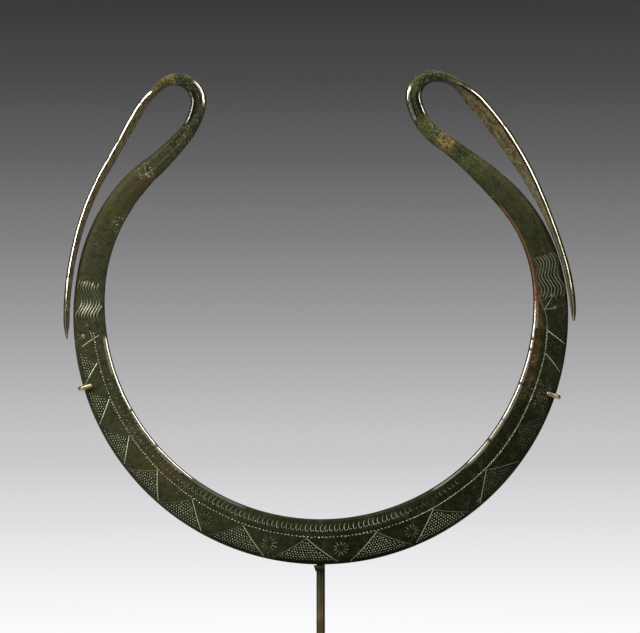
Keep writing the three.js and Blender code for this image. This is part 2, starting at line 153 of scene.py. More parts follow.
def trace_half(half):
    """One half's centreline as rows: length, x, z, heading, and the section's measures.

    The ring's stretch has radius (outer + inner) / 2. Beyond it the heading is the running sum of
    the arcs' turns, and the place is the running sum of short steps along the mean heading.
    """
    shoulder = np.radians(half["shoulder"])
    angle = np.linspace(0, shoulder, 2 * half["shoulder"] + 1)
    radius = (OUTER_RADIUS + inner_radius_at(angle)) / 2
    ring_x, ring_z = np.sin(angle) * radius, OUTER_RADIUS - np.cos(angle) * radius
    ring_heading = np.arctan2(np.gradient(ring_z), np.gradient(ring_x))
    ring_length = np.concatenate([[0], np.cumsum(np.hypot(np.diff(ring_x), np.diff(ring_z)))])

    arcs = np.array(half["arcs"], float)
    arc_ends = np.concatenate([[0], np.cumsum(arcs[:, 0])])
    arc_headings = ring_heading[-1] + np.radians(np.concatenate([[0], np.cumsum(arcs[:, 1])]))
    beyond = np.linspace(0, arc_ends[-1], int(arc_ends[-1] * 4) + 1)
    heading = np.interp(beyond, arc_ends, arc_headings)
    middle = (heading[1:] + heading[:-1]) / 2
    step = np.diff(beyond)
    x = ring_x[-1] + np.cumsum(step * np.cos(middle))
    z = ring_z[-1] + np.cumsum(step * np.sin(middle))

    rows = np.array(half["sections"], float)
    measures = smooth_through(rows[:, 0], rows[:, 1:].T, beyond[1:])
    swell = half["swell"] * (1 - ease(beyond[1:], 0, SWELL_FADE))
    ring_width = OUTER_RADIUS - inner_radius_at(angle)
    ring_swell = half["swell"] * ease(np.degrees(angle), *SWELL_ANGLES)
    still = np.zeros_like(angle)
    return {
        "length": np.concatenate([ring_length, ring_length[-1] + beyond[1:]]),
        "x": np.concatenate([ring_x, x]) * half["side"],
        "z": np.concatenate([ring_z, z]),
        "out_x": np.sin(np.concatenate([ring_heading, heading[1:]])) * half["side"],
        "out_z": -np.cos(np.concatenate([ring_heading, heading[1:]])),
        "inner": np.concatenate([ring_width / 2 + ring_swell, measures[0] / 2 + swell]),
        "outer": np.concatenate([ring_width / 2, measures[0] / 2]),
        "depth": np.concatenate([still + BAND_DEPTH, measures[1]]),
        "turn": np.radians(np.concatenate([still, measures[2]])),
        "roundness": np.concatenate([still, measures[3]]),
    }


# Both halves on one scale: the station runs along the bar, negative on the left.
left_half, right_half = trace_half(LEFT), trace_half(RIGHT)
left_half["length"] = -left_half["length"]
bar = {name: np.concatenate([left_half[name][:0:-1], right_half[name]]) for name in right_half}
bar["angle"] = np.degrees(np.arctan2(bar["x"], OUTER_RADIUS - bar["z"]))


def bar_at(station, name):
    return np.interp(station, bar["length"], bar[name])


OVAL_ANGLES = np.radians([0, 22, 42, 86, 124, 144, 162, 180, 202, 236, 270, 306, 336])
OVAL_POWER = 0.74
EDGE_TILT = np.radians(26)  # the spikes' front edges are filed to face this far outwards


def section_anchors(inner, outer, depth, turn, roundness):
    """Across and depth of the section's 13 leading points at each station.

    The band has a rounded inner edge, a front of two soft facets, a bevel down to a thin outer
    edge and a flatter back. The oval is a superellipse, and the blade a thin bar whose front edge
    is one narrow facet. Roundness leads from band to oval, and slimness from oval to blade.
    """
    h = depth / 2
    zone = -inner + ZONE_SHARE * (inner + outer)
    flat = np.zeros_like(inner)
    band = np.array([
        [-inner, flat],
        [-inner + 0.25, -0.46 * h],
        [-inner + 0.95, -0.66 * h],
        [zone, -h],
        [outer - BEVEL, -0.88 * h],
        [outer - BEVEL / 2, -0.62 * h],
        [outer - 0.2, -0.28 * h],
        [outer, flat],
        [outer - 0.2, 0.25 * h],
        [outer - BEVEL, 0.75 * h],
        [flat, 0.95 * h],
        [-inner + 1.2, 0.75 * h],
        [-inner + 0.25, 0.4 * h],
    ]).transpose(1, 2, 0)

    def spread(value):
        return np.sign(value) * np.abs(value) ** OVAL_POWER

    middle, radius = (outer - inner) / 2, (outer + inner) / 2
    oval = np.stack([
        middle[:, None] - radius[:, None] * spread(np.cos(OVAL_ANGLES)),
        -h[:, None] * spread(np.sin(OVAL_ANGLES)),
    ])
    slimness = ease(depth / (2 * radius), 1.6, 3.2)[:, None]
    drop = 1.3 * radius * np.tan(EDGE_TILT - turn)
    near, far = h - np.clip(drop, 0, 0.45 * h), h - np.clip(-drop, 0, 0.45 * h)
    blade = np.array([
        [-radius, flat],
        [-radius, -0.5 * h],
        [-0.92 * radius, -near + 0.22 * h],
        [-0.66 * radius, -near],
        [0.66 * radius, -far],
        [0.92 * radius, -far + 0.22 * h],
        [radius, -0.45 * h],
        [radius, flat],
        [radius, 0.4 * h],
        [0.85 * radius, 0.85 * h],
        [flat, h],
        [-0.85 * radius, 0.85 * h],
        [-radius, 0.4 * h],
    ]).transpose(1, 2, 0) + np.stack([middle, flat])[..., None]
    rounded = oval + (blade - oval) * slimness
    return band + (rounded - band) * roundness[:, None]


# Columns run round the section from the front's inner border. Their spacing comes from the girth
# of a plain section, with the columns close together at the two edges.
plain_section = section_anchors(*(np.array([value]) for value in (6.0, 6.0, 4.0, 0.0, 0.0)))[:, 0, :]
girth_steps = np.hypot(*(np.roll(plain_section, -1, axis=1) - plain_section))
girth_knots = np.concatenate([[0], np.cumsum(girth_steps)])
GIRTH = girth_knots[-1]
INNER_BORDER, OUTER_BORDER, OUTER_BACK, INNER_BACK = girth_knots[[2, 6, 8, 12]]
FRONT_COLUMNS = 24
column_girth = np.concatenate([
    np.linspace(INNER_BORDER, OUTER_BORDER, FRONT_COLUMNS)[:-1],
    np.linspace(OUTER_BORDER, OUTER_BACK, 6)[:-1],
    np.linspace(OUTER_BACK, INNER_BACK, 13)[:-1],
    np.linspace(INNER_BACK, GIRTH + INNER_BORDER, 14)[:-1],
])


def bar_surface(station):
    """Places, outward normals, and across-and-depth distances of the bar at each station and column.

    place = centreline + across * outward + depth * Y, with the section turned about the centreline.
    """
    inner, outer, depth, turn, roundness, x, z, out_x, out_z = (
        bar_at(station, name)
        for name in ("inner", "outer", "depth", "turn", "roundness", "x", "z", "out_x", "out_z")
    )
    anchors = section_anchors(inner, outer, depth, turn, roundness)
    wrapped = np.concatenate([anchors[..., -2:], anchors, anchors[..., :3]], axis=-1)
    knots = np.concatenate([girth_knots[-3:-1] - GIRTH, girth_knots, girth_knots[1:3] + GIRTH])
    across, deep = smooth_through(knots, wrapped, column_girth)
    cos, sin = np.cos(turn)[:, None], np.sin(turn)[:, None]
    out = across * cos + deep * sin
    back = deep * cos - across * sin
    place_x = x[:, None] + out * out_x[:, None]
    place_z = ring_base + z[:, None] + out * out_z[:, None]
    place = np.stack([place_x, back, place_z], -1)
    along = np.gradient(place, axis=0)
    around = (np.roll(place, -1, axis=1) - np.roll(place, 1, axis=1)) / 2
    normal = np.cross(around, along)
    normal /= np.linalg.norm(normal, axis=-1, keepdims=True) + 1e-12
    return place, normal, np.stack([across, deep], -1)


def unevenness(place, wavelength, waves, seed):
    """A smooth random ripple between about -1 and 1: the mean of sine waves in random directions."""
    dice = np.random.default_rng(seed)
    direction = dice.normal(size=(waves, 3))
    direction /= np.linalg.norm(direction, axis=1, keepdims=True)
    number = 2 * np.pi / (wavelength * dice.uniform(0.7, 1.4, waves))
    phase = dice.uniform(0, 2 * np.pi, waves)
    return np.sin(place @ (direction * number[:, None]).T + phase).sum(-1) / np.sqrt(waves)


# ---- The engraving -------------------------------------------------------------------------
# Cut and punched by hand into the front of the band, before the loops were bent: a beaded line,
# a row of curls inside it, triangles filled with punched dots outside it, small suns between
# them, and a band of wavy lines above each shoulder.
# Marks are placed by station and by distance from the zone line, positive towards the outside.

APEX_ANGLES = [-78.4, -68.8, -58.2, -46.8, -35.1, -20.5, -3.7, 14.6, 30.3, 47.3, 60.9, 71, 80.7, 86.5]
BASE_SHARE = 0.43
APEX_OFFSET = 0.8
BASE_OFFSET = 0.8
LINE_WIDTH, LINE_DEPTH = 0.5, 0.2
ZONE_ANGLES = (-86, 88)
FIRM_ANGLE = 24  # from here on the line between the zones is cut as deep as its beads
BEAD_PITCHES = (1.06, 0.28)  # everywhere, and how much wider they lie round the lowest point
DOT_PITCH, DOT_RADIUS, DOT_DEPTH, DOT_BOTTOM = 0.92, 0.4, 0.2, 0.56
CURL_PITCH = 1.8
SUN_ANGLES = [-30, -13, 5, 23, 38.5]
WAVE_LINES, WAVE_INNER_MARGIN, WAVE_OUTER_MARGIN = 8, 2.0, 1.6
# Each band: half, bottom and top above the base, wavelength, amplitude, lead, the cuts' width, the
# strength of their painted glint, and how much weaker it is painted where they slant inwards.
WAVE_BANDS = [
    (RIGHT, 94, 108.2, 9.6, 0.8, -0.2, 0.42, 0.5, 0.25),
    (LEFT, 85, 98.5, 10.0, 1.05, 0.8, 0.6, 1.0, 0.75),
]

dice = np.random.default_rng(7)
ring_span = np.abs(bar["angle"]) <= 112
ring_span &= np.abs(bar["length"]) < 190


def station_at_angle(angle):
    """The station whose centreline point lies at this angle round the ring, in degrees."""
    return np.interp(angle, bar["angle"][ring_span], bar["length"][ring_span])


def station_at_height(side, height):
    """The first station on that side whose centreline reaches this height above the ring's base."""
    half = right_half if side > 0 else left_half
    reached = np.argmax(half["z"] >= height)
    return np.interp(height, half["z"][: reached + 1], half["length"][: reached + 1])


def width_at(station):
    return bar_at(station, "inner") + bar_at(station, "outer")


def outer_reach(station):
    """How far the outer edge lies from the zone line."""
    return (1 - ZONE_SHARE) * width_at(station)


def inner_reach(station):
    return ZONE_SHARE * width_at(station)


cuts = []  # polylines of (station, offset) points, then both flanks' widths, depth and painted glint
pits = []  # (station, offset, radius, depth, painted glint)
SHALLOW_SHARE = 0.7


def cut(points, width, depth, lean=1, bare_glint=1.0):
    """A graver's cut: a V with a shallow flank and a steep one. Lean 1 puts the shallow one left.

    The last argument, from 0 to 1, tells how much metal the shallow flank shows, painted pale as a
    glint, and how dark the steep one is painted as shade.
    """
    shallow, steep = width * SHALLOW_SHARE, width * (1 - SHALLOW_SHARE)
    flanks = (shallow, steep) if lean > 0 else (steep, shallow)
    bare_glints = np.broadcast_to(bare_glint, len(points) - 1)
    cuts.append((np.array(points, float), flanks, depth, bare_glints))


# The zone line, with a row of beads punched along it. On the right it runs out to the inner edge.
zone_ends = [station_at_angle(angle) for angle in (ZONE_ANGLES[0], FIRM_ANGLE, ZONE_ANGLES[1])]
faint_line = np.arange(zone_ends[0], zone_ends[1], 0.8)
firm_line = np.arange(faint_line[-1] + 0.8, zone_ends[2], 0.8)
cut(np.stack([faint_line, 0.06 * np.sin(faint_line / 9)], 1), 0.3, 0.06, bare_glint=0.1)
# The firm line's painted glint varies along it.
line_bare_glint = dice.uniform(0.3, 0.75, len(firm_line) - 1)
cut(np.stack([firm_line, 0.06 * np.sin(firm_line / 9)], 1), 0.4, 0.14, bare_glint=line_bare_glint)
run_out = firm_line[-1] + np.linspace(0.8, 12, 12)
run_out_offsets = -ease(run_out, run_out[0], run_out[-1] + 3) * (inner_reach(run_out) - 0.9)
cut(np.stack([run_out, run_out_offsets], 1), 0.34, 0.12, bare_glint=0.35)
bead = zone_ends[0]
while bead < zone_ends[2]:
    radius = dice.uniform(0.4, 0.48) if bead < zone_ends[1] else dice.uniform(0.32, 0.4)
    pits.append((bead + dice.normal(0, 0.05), dice.normal(0, 0.05), radius, 0.24, dice.uniform(0.75, 1)))
    bead += BEAD_PITCHES[0] + BEAD_PITCHES[1] * ease(bead, -60, -20) * (1 - ease(bead, 25, 45))

# The triangles: two slightly bowed cuts from the apex, and rows of dots between them.
for i, apex in enumerate(APEX_ANGLES):
    before = APEX_ANGLES[i - 1] if i else 2 * apex - APEX_ANGLES[1]
    after = APEX_ANGLES[i + 1] if i + 1 < len(APEX_ANGLES) else 2 * apex - APEX_ANGLES[-2]
    half_base = BASE_SHARE * (after - before) / 2
    top = station_at_angle(apex)
    corners = station_at_angle(apex - half_base), station_at_angle(apex + half_base)
    for corner, lean in zip(corners, (1, -1)):
        share = np.linspace(0, 1, 9)
        stations = top + (corner - top) * share
        reach = outer_reach(corner) - BASE_OFFSET
        offsets = APEX_OFFSET + (reach - APEX_OFFSET) * share
        bow = dice.uniform(-0.1, 0.22) * np.sin(np.pi * share)
        firm = lean == (-1 if apex < 0 else 1) and not 50 < apex < 75
        width, depth = (LINE_WIDTH, LINE_DEPTH) if firm else (0.7 * LINE_WIDTH, 0.6 * LINE_DEPTH)
        width = width * (1 - 0.15 * (apex > 40))
        line = np.stack([stations + bow * np.sign(corner - top), offsets], 1)
        # The firm lines are painted with a strong glint, the others with a dim one, dimmer beyond 50 degrees.
        dim_bare_glint = dice.uniform(0.3, 0.5) if abs(apex) < 50 else dice.uniform(0.1, 0.25)
        cut(line, width, depth, lean, dice.uniform(0.8, 1, 8) if firm else dim_bare_glint)
    if apex > 80 or apex < -84:
        continue
    rows = np.arange(APEX_OFFSET + 1.4, outer_reach(top) - 1.1, DOT_PITCH * 0.9)
    for row, offset in enumerate(rows):
        share = (offset - APEX_OFFSET) / (outer_reach(top) - BASE_OFFSET - APEX_OFFSET)
        low = top + (corners[0] - top) * share + 0.62
        high = top + (corners[1] - top) * share - 0.62
        if high <= low:
            continue
        for station in np.arange(low + (row % 2) * DOT_PITCH / 2, high, DOT_PITCH):
            jitter = dice.normal(0, 0.05, 2)
            size = dice.uniform(0.92, 1.08)
            # The dots' bottoms are painted as glints, fainter from 34 degrees on.
            bare_glint = dice.uniform(0.6, 1) * (1 - 0.7 * ease(apex, 34, 48))
            pits.append((station + jitter[0], offset + jitter[1], DOT_RADIUS * size, DOT_DEPTH * size, bare_glint))

# Curls in the inner zone: an upright bowed stroke whose foot hooks round to a dot. Their painted
# glint is fainter on the left, and on the right they wear away.
CURL = np.array([[0.12, -1.1], [-0.22, -0.6], [-0.36, 0.0], [-0.3, 0.55], [-0.02, 0.98], [0.34, 0.96]])
for station in np.arange(station_at_angle(-74), station_at_angle(60), CURL_PITCH):
    angle = np.interp(station, bar["length"], bar["angle"])
    wear = ease(angle, 12, 34)
    if dice.random() < ease(angle, 32, 46):
        continue
    middle = -0.5 * inner_reach(station) + dice.normal(0, 0.06)
    stretch = np.array([dice.uniform(0.9, 1.1), dice.uniform(0.95, 1.1)]) * (1 - 0.4 * wear)
    place = np.array([station + dice.normal(0, 0.07), middle])
    curl_bare_glint = (1 - 0.7 * (1 - ease(station, -62, -40))) * (1 - 0.6 * wear)
    bare_glint = curl_bare_glint * np.array([0.5, 0.8, 0.9, 0.6, 0.3]) * dice.uniform(0.6, 1.1)
    if dice.random() > 0.5 * wear:
        cut(CURL * stretch + place, 0.38, 0.16, 1, bare_glint)
    pits.append((*(place + [0.52, 0.74] * stretch), 0.3, 0.2, dice.uniform(0.5, 1) * (1 - 0.5 * wear)))

# Suns: a faint small circle with short rays, in the gaps between the triangles.
for angle in SUN_ANGLES:
    station = station_at_angle(angle)
    middle = 0.44 * outer_reach(station)
    strength = 0.6 if angle < -20 else 0.25 if angle > 30 else 1
    rim = np.linspace(0, 2 * np.pi, 13)
    circle = np.stack([station + 1.25 * np.cos(rim), middle + 1.15 * np.sin(rim)], 1)
    cut(circle, 0.26, 0.05, bare_glint=0.12)
    for ray in np.linspace(0, 2 * np.pi, 12)[:-1] + 0.2:
        arm = np.array([[np.cos(ray), np.sin(ray)]]) * np.array([[1.5], [2.0], [dice.uniform(2.3, 2.8)]])
        bare_glint = strength * dice.uniform(0.2, 0.6)
        cut(arm * [1, 0.95] + [station, middle], 0.32, 0.12 * strength, 1 if np.cos(ray) > 0 else -1, bare_glint)

# Bands of wavy lines that run lengthwise.
for half, bottom, top, wavelength, amplitude, lead, width, tone, contrast in WAVE_BANDS:
    start, end = (station_at_height(half["side"], height) for height in (bottom, top))
    for line in range(WAVE_LINES):
        ends = dice.normal(0, 0.35, 2) * half["side"]
        stations = np.linspace(start + ends[0], end + ends[1], 36)
        share = line / (WAVE_LINES - 1)
        low = -inner_reach(stations) + WAVE_INNER_MARGIN
        high = outer_reach(stations) - WAVE_OUTER_MARGIN
        phase = 2 * np.pi * (np.abs(end - stations) + lead + dice.normal(0, 0.08)) / wavelength
        offsets = low + (high - low) * share + amplitude * np.sin(phase)
        slant = (0.5 + 0.5 * np.cos(phase[:-1])) ** 2
        bare_glint = tone * dice.uniform(0.7, 1) * (1 - contrast + contrast * slant)
        cut(np.stack([stations, offsets], 1), width, 0.36 * width, bare_glint=bare_glint)


def mark_place(angle, radius):
    """Station and offset of a point given by its angle and its distance from the ring's centre."""
    station = station_at_angle(angle)
    centre = np.hypot(bar_at(station, "x"), OUTER_RADIUS - bar_at(station, "z"))
    return station, radius - centre + bar_at(station, "inner") - inner_reach(station)


# Small marks round the shoulders: a ring and dot and crossed lines on the left, a fork on the right.
ring_mark = mark_place(-85.4, 83.3)
rim = np.linspace(0, 2 * np.pi, 11)
cut(np.stack([ring_mark[0] + 0.75 * np.cos(rim), ring_mark[1] + 0.75 * np.sin(rim)], 1), 0.36, 0.18)
pits.append((*ring_mark, 0.34, 0.2, 1))
cut([mark_place(-83.1, 84.2), mark_place(-84.3, 81), mark_place(-85.3, 78)], 0.36, 0.16, bare_glint=0.7)
cut([mark_place(-84.0, 79.8), mark_place(-86.4, 80.9)], 0.36, 0.15)
LOOSE_DOTS = [(-87, 79.5), (-86.2, 77.6), (-84.6, 77.2), (-83, 79.6), (-82, 82.6), (-88, 82), (-82.4, 77.6)]
for angle, radius in LOOSE_DOTS:
    pits.append((*mark_place(angle, radius), 0.3, 0.18, 0.7))
cut([mark_place(92.1, 78.1), mark_place(93.5, 79.6), mark_place(94.8, 80.9)], 0.34, 0.14, bare_glint=0.45)
cut([mark_place(92.1, 78.1), mark_place(92.1, 79.8), mark_place(92.3, 81.4)], 0.34, 0.14, bare_glint=0.45)
for angle, radius in [(95.3, 81.4), (92.3, 82)]:
    middle = mark_place(angle, radius)
    cut(np.stack([middle[0] + 0.6 * np.cos(rim), middle[1] + 0.6 * np.sin(rim)], 1), 0.3, 0.13, bare_glint=0.5)


def drift(station, offset):
    """The right half's marks near the zone line were cut 0.6 mm further out."""
    return 0.6 * ease(station, 50, 75) * (1 - ease(station, 112, 124)) * (1 - ease(np.abs(offset), 1, 7))


pits = np.array(pits)
pits[:, 1] += drift(pits[:, 0], pits[:, 1])
for line, *_ in cuts:
    line[:, 1] += drift(line[:, 0], line[:, 1])
cut_ends = np.concatenate([
    np.column_stack([line[:-1], line[1:], np.tile([*flanks, depth], (len(line) - 1, 1)), bare_glint])
    for line, flanks, depth, bare_glint in cuts
])


def engraved(points):
    """At (station, offset) points: the marks' depth, the clearance to a mark, and painted glint and shade.

    A cut is a V, depth * (1 - distance / flank's width), and a punched dot a paraboloid,
    depth * (1 - (distance / radius)^2). The deepest mark at a point counts. A glint of metal, painted
    pale, lies on a cut's shallow flank and in a dot's bottom at the strength given; the other side,
    less than 0, is painted shade.
    """
    depths, clearances, glints_and_shades = [], [], []
    start, run = cut_ends[:, :2], cut_ends[:, 2:4] - cut_ends[:, :2]
    left_flank, right_flank, cut_depths, cut_bare_glint = cut_ends[:, 4:].T
    for chunk in np.array_split(points, max(len(points) // 2000, 1)):
        away = np.hypot(chunk[:, :1] - pits[:, 0], chunk[:, 1:] - pits[:, 1])
        pit_depth = pits[:, 3] * (1 - (away / pits[:, 2]) ** 2)
        pit = pit_depth.argmax(1)
        from_start = chunk[:, None, :] - start
        t = np.clip((from_start * run).sum(-1) / ((run**2).sum(-1) + 1e-9), 0, 1)
        off = np.linalg.norm(from_start - t[..., None] * run, axis=-1)
        on_left = run[:, 0] * from_start[..., 1] > run[:, 1] * from_start[..., 0]
        flank = np.where(on_left, left_flank, right_flank)
        cut_depth = cut_depths * (1 - off / flank)
        line = cut_depth.argmax(1)
        pick = np.arange(len(chunk))
        deepest_pit, deepest_cut = pit_depth[pick, pit], cut_depth[pick, line]
        depth = np.maximum(np.maximum(deepest_pit, deepest_cut), 0)
        on_shallow = flank[pick, line] >= np.maximum(left_flank, right_flank)[line] - 1e-6
        in_bottom = away[pick, pit] < DOT_BOTTOM * pits[pit, 2]
        in_pit = deepest_pit > deepest_cut
        bare_glint = np.where(in_pit, pits[pit, 4], cut_bare_glint[line])
        glint_and_shade = np.where(np.where(in_pit, in_bottom, on_shallow), bare_glint, -0.4 - 0.6 * bare_glint)
        depths.append(depth)
        clearances.append(np.minimum((away - pits[:, 2]).min(1), (off - flank).min(1)))
        glints_and_shades.append(np.where(depth > 0, glint_and_shade, 0.0))
    return np.concatenate(depths), np.concatenate(clearances), np.concatenate(glints_and_shades)


def chain(count, first, closed=False):
    """Index pairs that join a run of points."""
    index = first + np.arange(count)
    pairs = np.stack([index[:-1], index[1:]], 1)
    return np.concatenate([pairs, [[index[-1], index[0]]]]) if closed else pairs


# ---- The torc's mesh -----------------------------------------------------------------------
# The bar's surface is a grid of stations and columns. Under the engraving the front's columns
# give way to a patch of triangles that follows every cut and dot, and meets the grid's border.

PATCH_MARGIN = 3.0
patch_start = station_at_height(-1, 98.5) - PATCH_MARGIN
patch_end = station_at_height(1, 109) + PATCH_MARGIN
GRID_STEP, PATCH_STEP = 0.62, 0.8


def even_stations(start, end, step):
    return np.linspace(start, end, int(np.ceil((end - start) / step)) + 1)


left_tip, right_tip = bar["length"][0], bar["length"][-1]
stations = np.concatenate([
    even_stations(left_tip, patch_start, GRID_STEP)[:-1],
    even_stations(patch_start, patch_end, PATCH_STEP)[:-1],
    even_stations(patch_end, right_tip, GRID_STEP),
])
grid_place, grid_normal, grid_section = bar_surface(stations)
first_row, last_row = np.searchsorted(stations, [patch_start - 1e-6, patch_end - 1e-6])
patch_rows = stations[first_row : last_row + 1]
front = slice(0, FRONT_COLUMNS)
row_offsets = grid_section[first_row : last_row + 1, front, 0]
row_offsets = row_offsets + (bar_at(patch_rows, "inner") - inner_reach(patch_rows))[:, None]

# The patch's outline runs along the inner border, up the end, back along the outer border.
outline = np.concatenate([
    np.column_stack([patch_rows, row_offsets[:, 0]]),
    np.column_stack([np.full(FRONT_COLUMNS - 2, patch_rows[-1]), row_offsets[-1, 1:-1]]),
    np.column_stack([patch_rows, row_offsets[:, -1]])[::-1],
    np.column_stack([np.full(FRONT_COLUMNS - 2, patch_rows[0]), row_offsets[0, -2:0:-1]]),
])
patch_points, patch_edges = [outline], [chain(len(outline), 0, closed=True)]
point_count = len(outline)

for line, (left, right), _, _ in cuts:
    run = np.gradient(line, axis=0)
    run /= np.linalg.norm(run, axis=1, keepdims=True)
    side = np.stack([-run[:, 1], run[:, 0]], 1)
    cap = min(left, right)
    tips = np.stack([line[0] - run[0] * cap, line[-1] + run[-1] * cap])
    patch_points += [line, line + side * left, line - side * right, tips]
    for track in range(3):
        patch_edges.append(chain(len(line), point_count + track * len(line)))
    point_count += 3 * len(line) + 2

ring_of_six = np.exp(1j * np.arange(6) * np.pi / 3)
ring_of_eight = np.exp(1j * np.arange(8) * np.pi / 4)
for station, offset, radius, _, _ in pits:
    rim = np.concatenate([[0], ring_of_six * DOT_BOTTOM, ring_of_eight]) * radius
    patch_points.append(np.column_stack([station + rim.real, offset + rim.imag]))
    patch_edges.append(chain(8, point_count + 7, closed=True))
    point_count += 15

# Between the marks, an even field of points. None lies close to a mark or to the border.
FIELD_STEP = 0.85
field_station, field_offset = np.meshgrid(
    np.arange(patch_start, patch_end, FIELD_STEP), np.arange(-7, 11, FIELD_STEP)
)
field_station = field_station + (np.arange(field_station.shape[0]) % 2)[:, None] * FIELD_STEP / 2
field = np.column_stack([field_station.ravel(), field_offset.ravel()])
low_border = np.interp(field[:, 0], patch_rows, row_offsets[:, 0])
high_border = np.interp(field[:, 0], patch_rows, row_offsets[:, -1])
inside = (field[:, 1] > low_border + 0.35) & (field[:, 1] < high_border - 0.35)
inside &= (field[:, 0] > patch_start + 0.4) & (field[:, 0] < patch_end - 0.4)
field = field[inside]
field = field[engraved(field)[1] > 0.12]
patch_points.append(field)

all_points = np.concatenate(patch_points)
kept_inside = delaunay_2d_cdt(
    all_points.tolist(), np.concatenate(patch_edges).tolist(), [list(range(len(outline)))], 1, 1e-6, False
)
patch_flat = np.array([tuple(point) for point in kept_inside[0]])
triangles = np.array([tuple(reversed(face)) for face in kept_inside[2]])
# The borders curve, so the triangles that bridge a hollow of the outline go.
middle = patch_flat[triangles].mean(1)
within = middle[:, 1] > np.interp(middle[:, 0], patch_rows, row_offsets[:, 0]) + 1e-4
within &= middle[:, 1] < np.interp(middle[:, 0], patch_rows, row_offsets[:, -1]) - 1e-4
patch_faces = triangles[within]


def on_patch(values):
    """Grid values under the patch, read bilinearly at each patch vertex's station and offset."""
    row = np.clip(np.searchsorted(patch_rows, patch_flat[:, 0], side="right") - 1, 0, len(patch_rows) - 2)
    t = (patch_flat[:, 0] - patch_rows[row]) / (patch_rows[row + 1] - patch_rows[row])
    offsets = row_offsets[row] * (1 - t)[:, None] + row_offsets[row + 1] * t[:, None]
    column = np.clip((offsets <= patch_flat[:, 1:] + 1e-9).sum(1) - 1, 0, FRONT_COLUMNS - 2)
    pick = np.arange(len(column))
    s = (patch_flat[:, 1] - offsets[pick, column]) / (offsets[pick, column + 1] - offsets[pick, column])
    rows = values[first_row : last_row + 1, front]
    near = rows[row, column] * (1 - s)[:, None] + rows[row, column + 1] * s[:, None]
    far = rows[row + 1, column] * (1 - s)[:, None] + rows[row + 1, column + 1] * s[:, None]
    return near * (1 - t)[:, None] + far * t[:, None]


patch_place, patch_normal, patch_section = map(on_patch, (grid_place, grid_normal, grid_section))
patch_glint_and_shade = engraved(patch_flat[patch_faces].mean(1))[2]

# Corroded pits in the plain terminals, thick in a few crusted places.
CRUSTED_STATIONS = [(-178, 9, 16), (-200, 12, 22), (-222, 8, 12), (166, 9, 14), (192, 12, 22), (-262, 14, 10)]
pit_stations = np.concatenate([dice.normal(middle, spread, n) for middle, spread, n in CRUSTED_STATIONS])
pit_stations = np.concatenate([pit_stations, dice.uniform(left_tip, patch_start - 3, 40)])
pit_stations = np.concatenate([pit_stations, dice.uniform(patch_end + 3, right_tip, 50)])
far_from_patch = (pit_stations < patch_start - 2) | (pit_stations > patch_end + 2)
pit_stations = pit_stations[far_from_patch]
pit_rows = np.searchsorted(stations, pit_stations).clip(0, len(stations) - 1)
pit_columns = dice.integers(0, len(column_girth), len(pit_rows))
pit_places = grid_place[pit_rows, pit_columns]
pit_sizes = dice.uniform(0.7, 1.5, len(pit_rows))
pit_depths = dice.uniform(0.05, 0.14, len(pit_rows))


def corroded_depth(place):
    """Shallow bowls, depth * (1 - (distance / size)^2)^2, where the metal has pitted."""
    total = np.zeros(len(place))
    for centre, size, depth in zip(pit_places, pit_sizes, pit_depths):
        share = np.clip(1 - ((place - centre) ** 2).sum(1) / size**2, 0, 1)
        total = np.maximum(total, depth * share**2)
    return total


def finished(place, normal, section, cut_depth):
    """The hammered and worn surface: a slow ripple, the corroded pits and the engraving."""
    thin = np.clip(np.abs(section[:, 1]), 0, 1)
    ripple = 0.035 * unevenness(place, 14, 10, 3) + 0.02 * unevenness(place, 4.5, 10, 4)
    return place + normal * (ripple * thin - corroded_depth(place) - cut_depth)[:, None]


grid_flat = [grid.reshape(-1, grid.shape[-1]) for grid in (grid_place, grid_normal, grid_section)]
grid_points = finished(*grid_flat, 0.0)
patch_places = finished(patch_place, patch_normal, patch_section, engraved(patch_flat)[0])

columns = len(column_girth)
row_index, column_index = np.meshgrid(np.arange(len(stations) - 1), np.arange(columns), indexing="ij")
under_patch = (row_index >= first_row) & (row_index < last_row) & (column_index < FRONT_COLUMNS - 1)
row_index, column_index = row_index[~under_patch], column_index[~under_patch]
beside = (column_index + 1) % columns
quads = np.stack([
    row_index * columns + column_index,
    row_index * columns + beside,
    (row_index + 1) * columns + beside,
    (row_index + 1) * columns + column_index,
], 1)
last_section = (len(stations) - 1) * columns
tips = np.stack([grid_points[:columns].mean(0), grid_points[last_section:].mean(0)])
tip_index = len(grid_points)
around = np.arange(columns)
left_fan = np.stack([np.full(columns, tip_index), (around + 1) % columns, around], 1)
right_fan = np.stack([
    np.full(columns, tip_index + 1), last_section + around, last_section + (around + 1) % columns
], 1)
patch_first = len(grid_points) + 2

torc_vertices = np.concatenate([grid_points, tips, patch_places]) * MM
torc_faces = quads.tolist() + left_fan.tolist() + right_fan.tolist()
torc_faces += (patch_faces + patch_first).tolist()

station_of = np.concatenate([
    np.repeat(stations, columns), [left_tip, right_tip], patch_flat[:, 0],
])
section_of = np.concatenate([grid_section.reshape(-1, 2), [[0, 0], [0, 0]], patch_section])
bar_way = np.column_stack([station_of, section_of]) * MM
glint_and_shade_of = np.concatenate([np.zeros(len(torc_faces) - len(patch_faces)), patch_glint_and_shade])


# Where handling has polished the section's shoulders, painted pale there as a highlight: [from
# station, to station, side, strength], with side -1 for the ring's inner side and 1 for its outer side.
POLISHED_HIGHLIGHTS = [
    [-117, -53, -1, 0.9], [-53, -30, -1, 0.25], [45, 62, -1, 0.3], [62, 84, -1, 0.6], [84, 131, -1, 1],
    [131, 170, -1, 0.6], [213, 223, -1, 1], [213, 222, 1, 1], [-219, -212, -1, 1], [-217, -204, 1, 0.9],
]
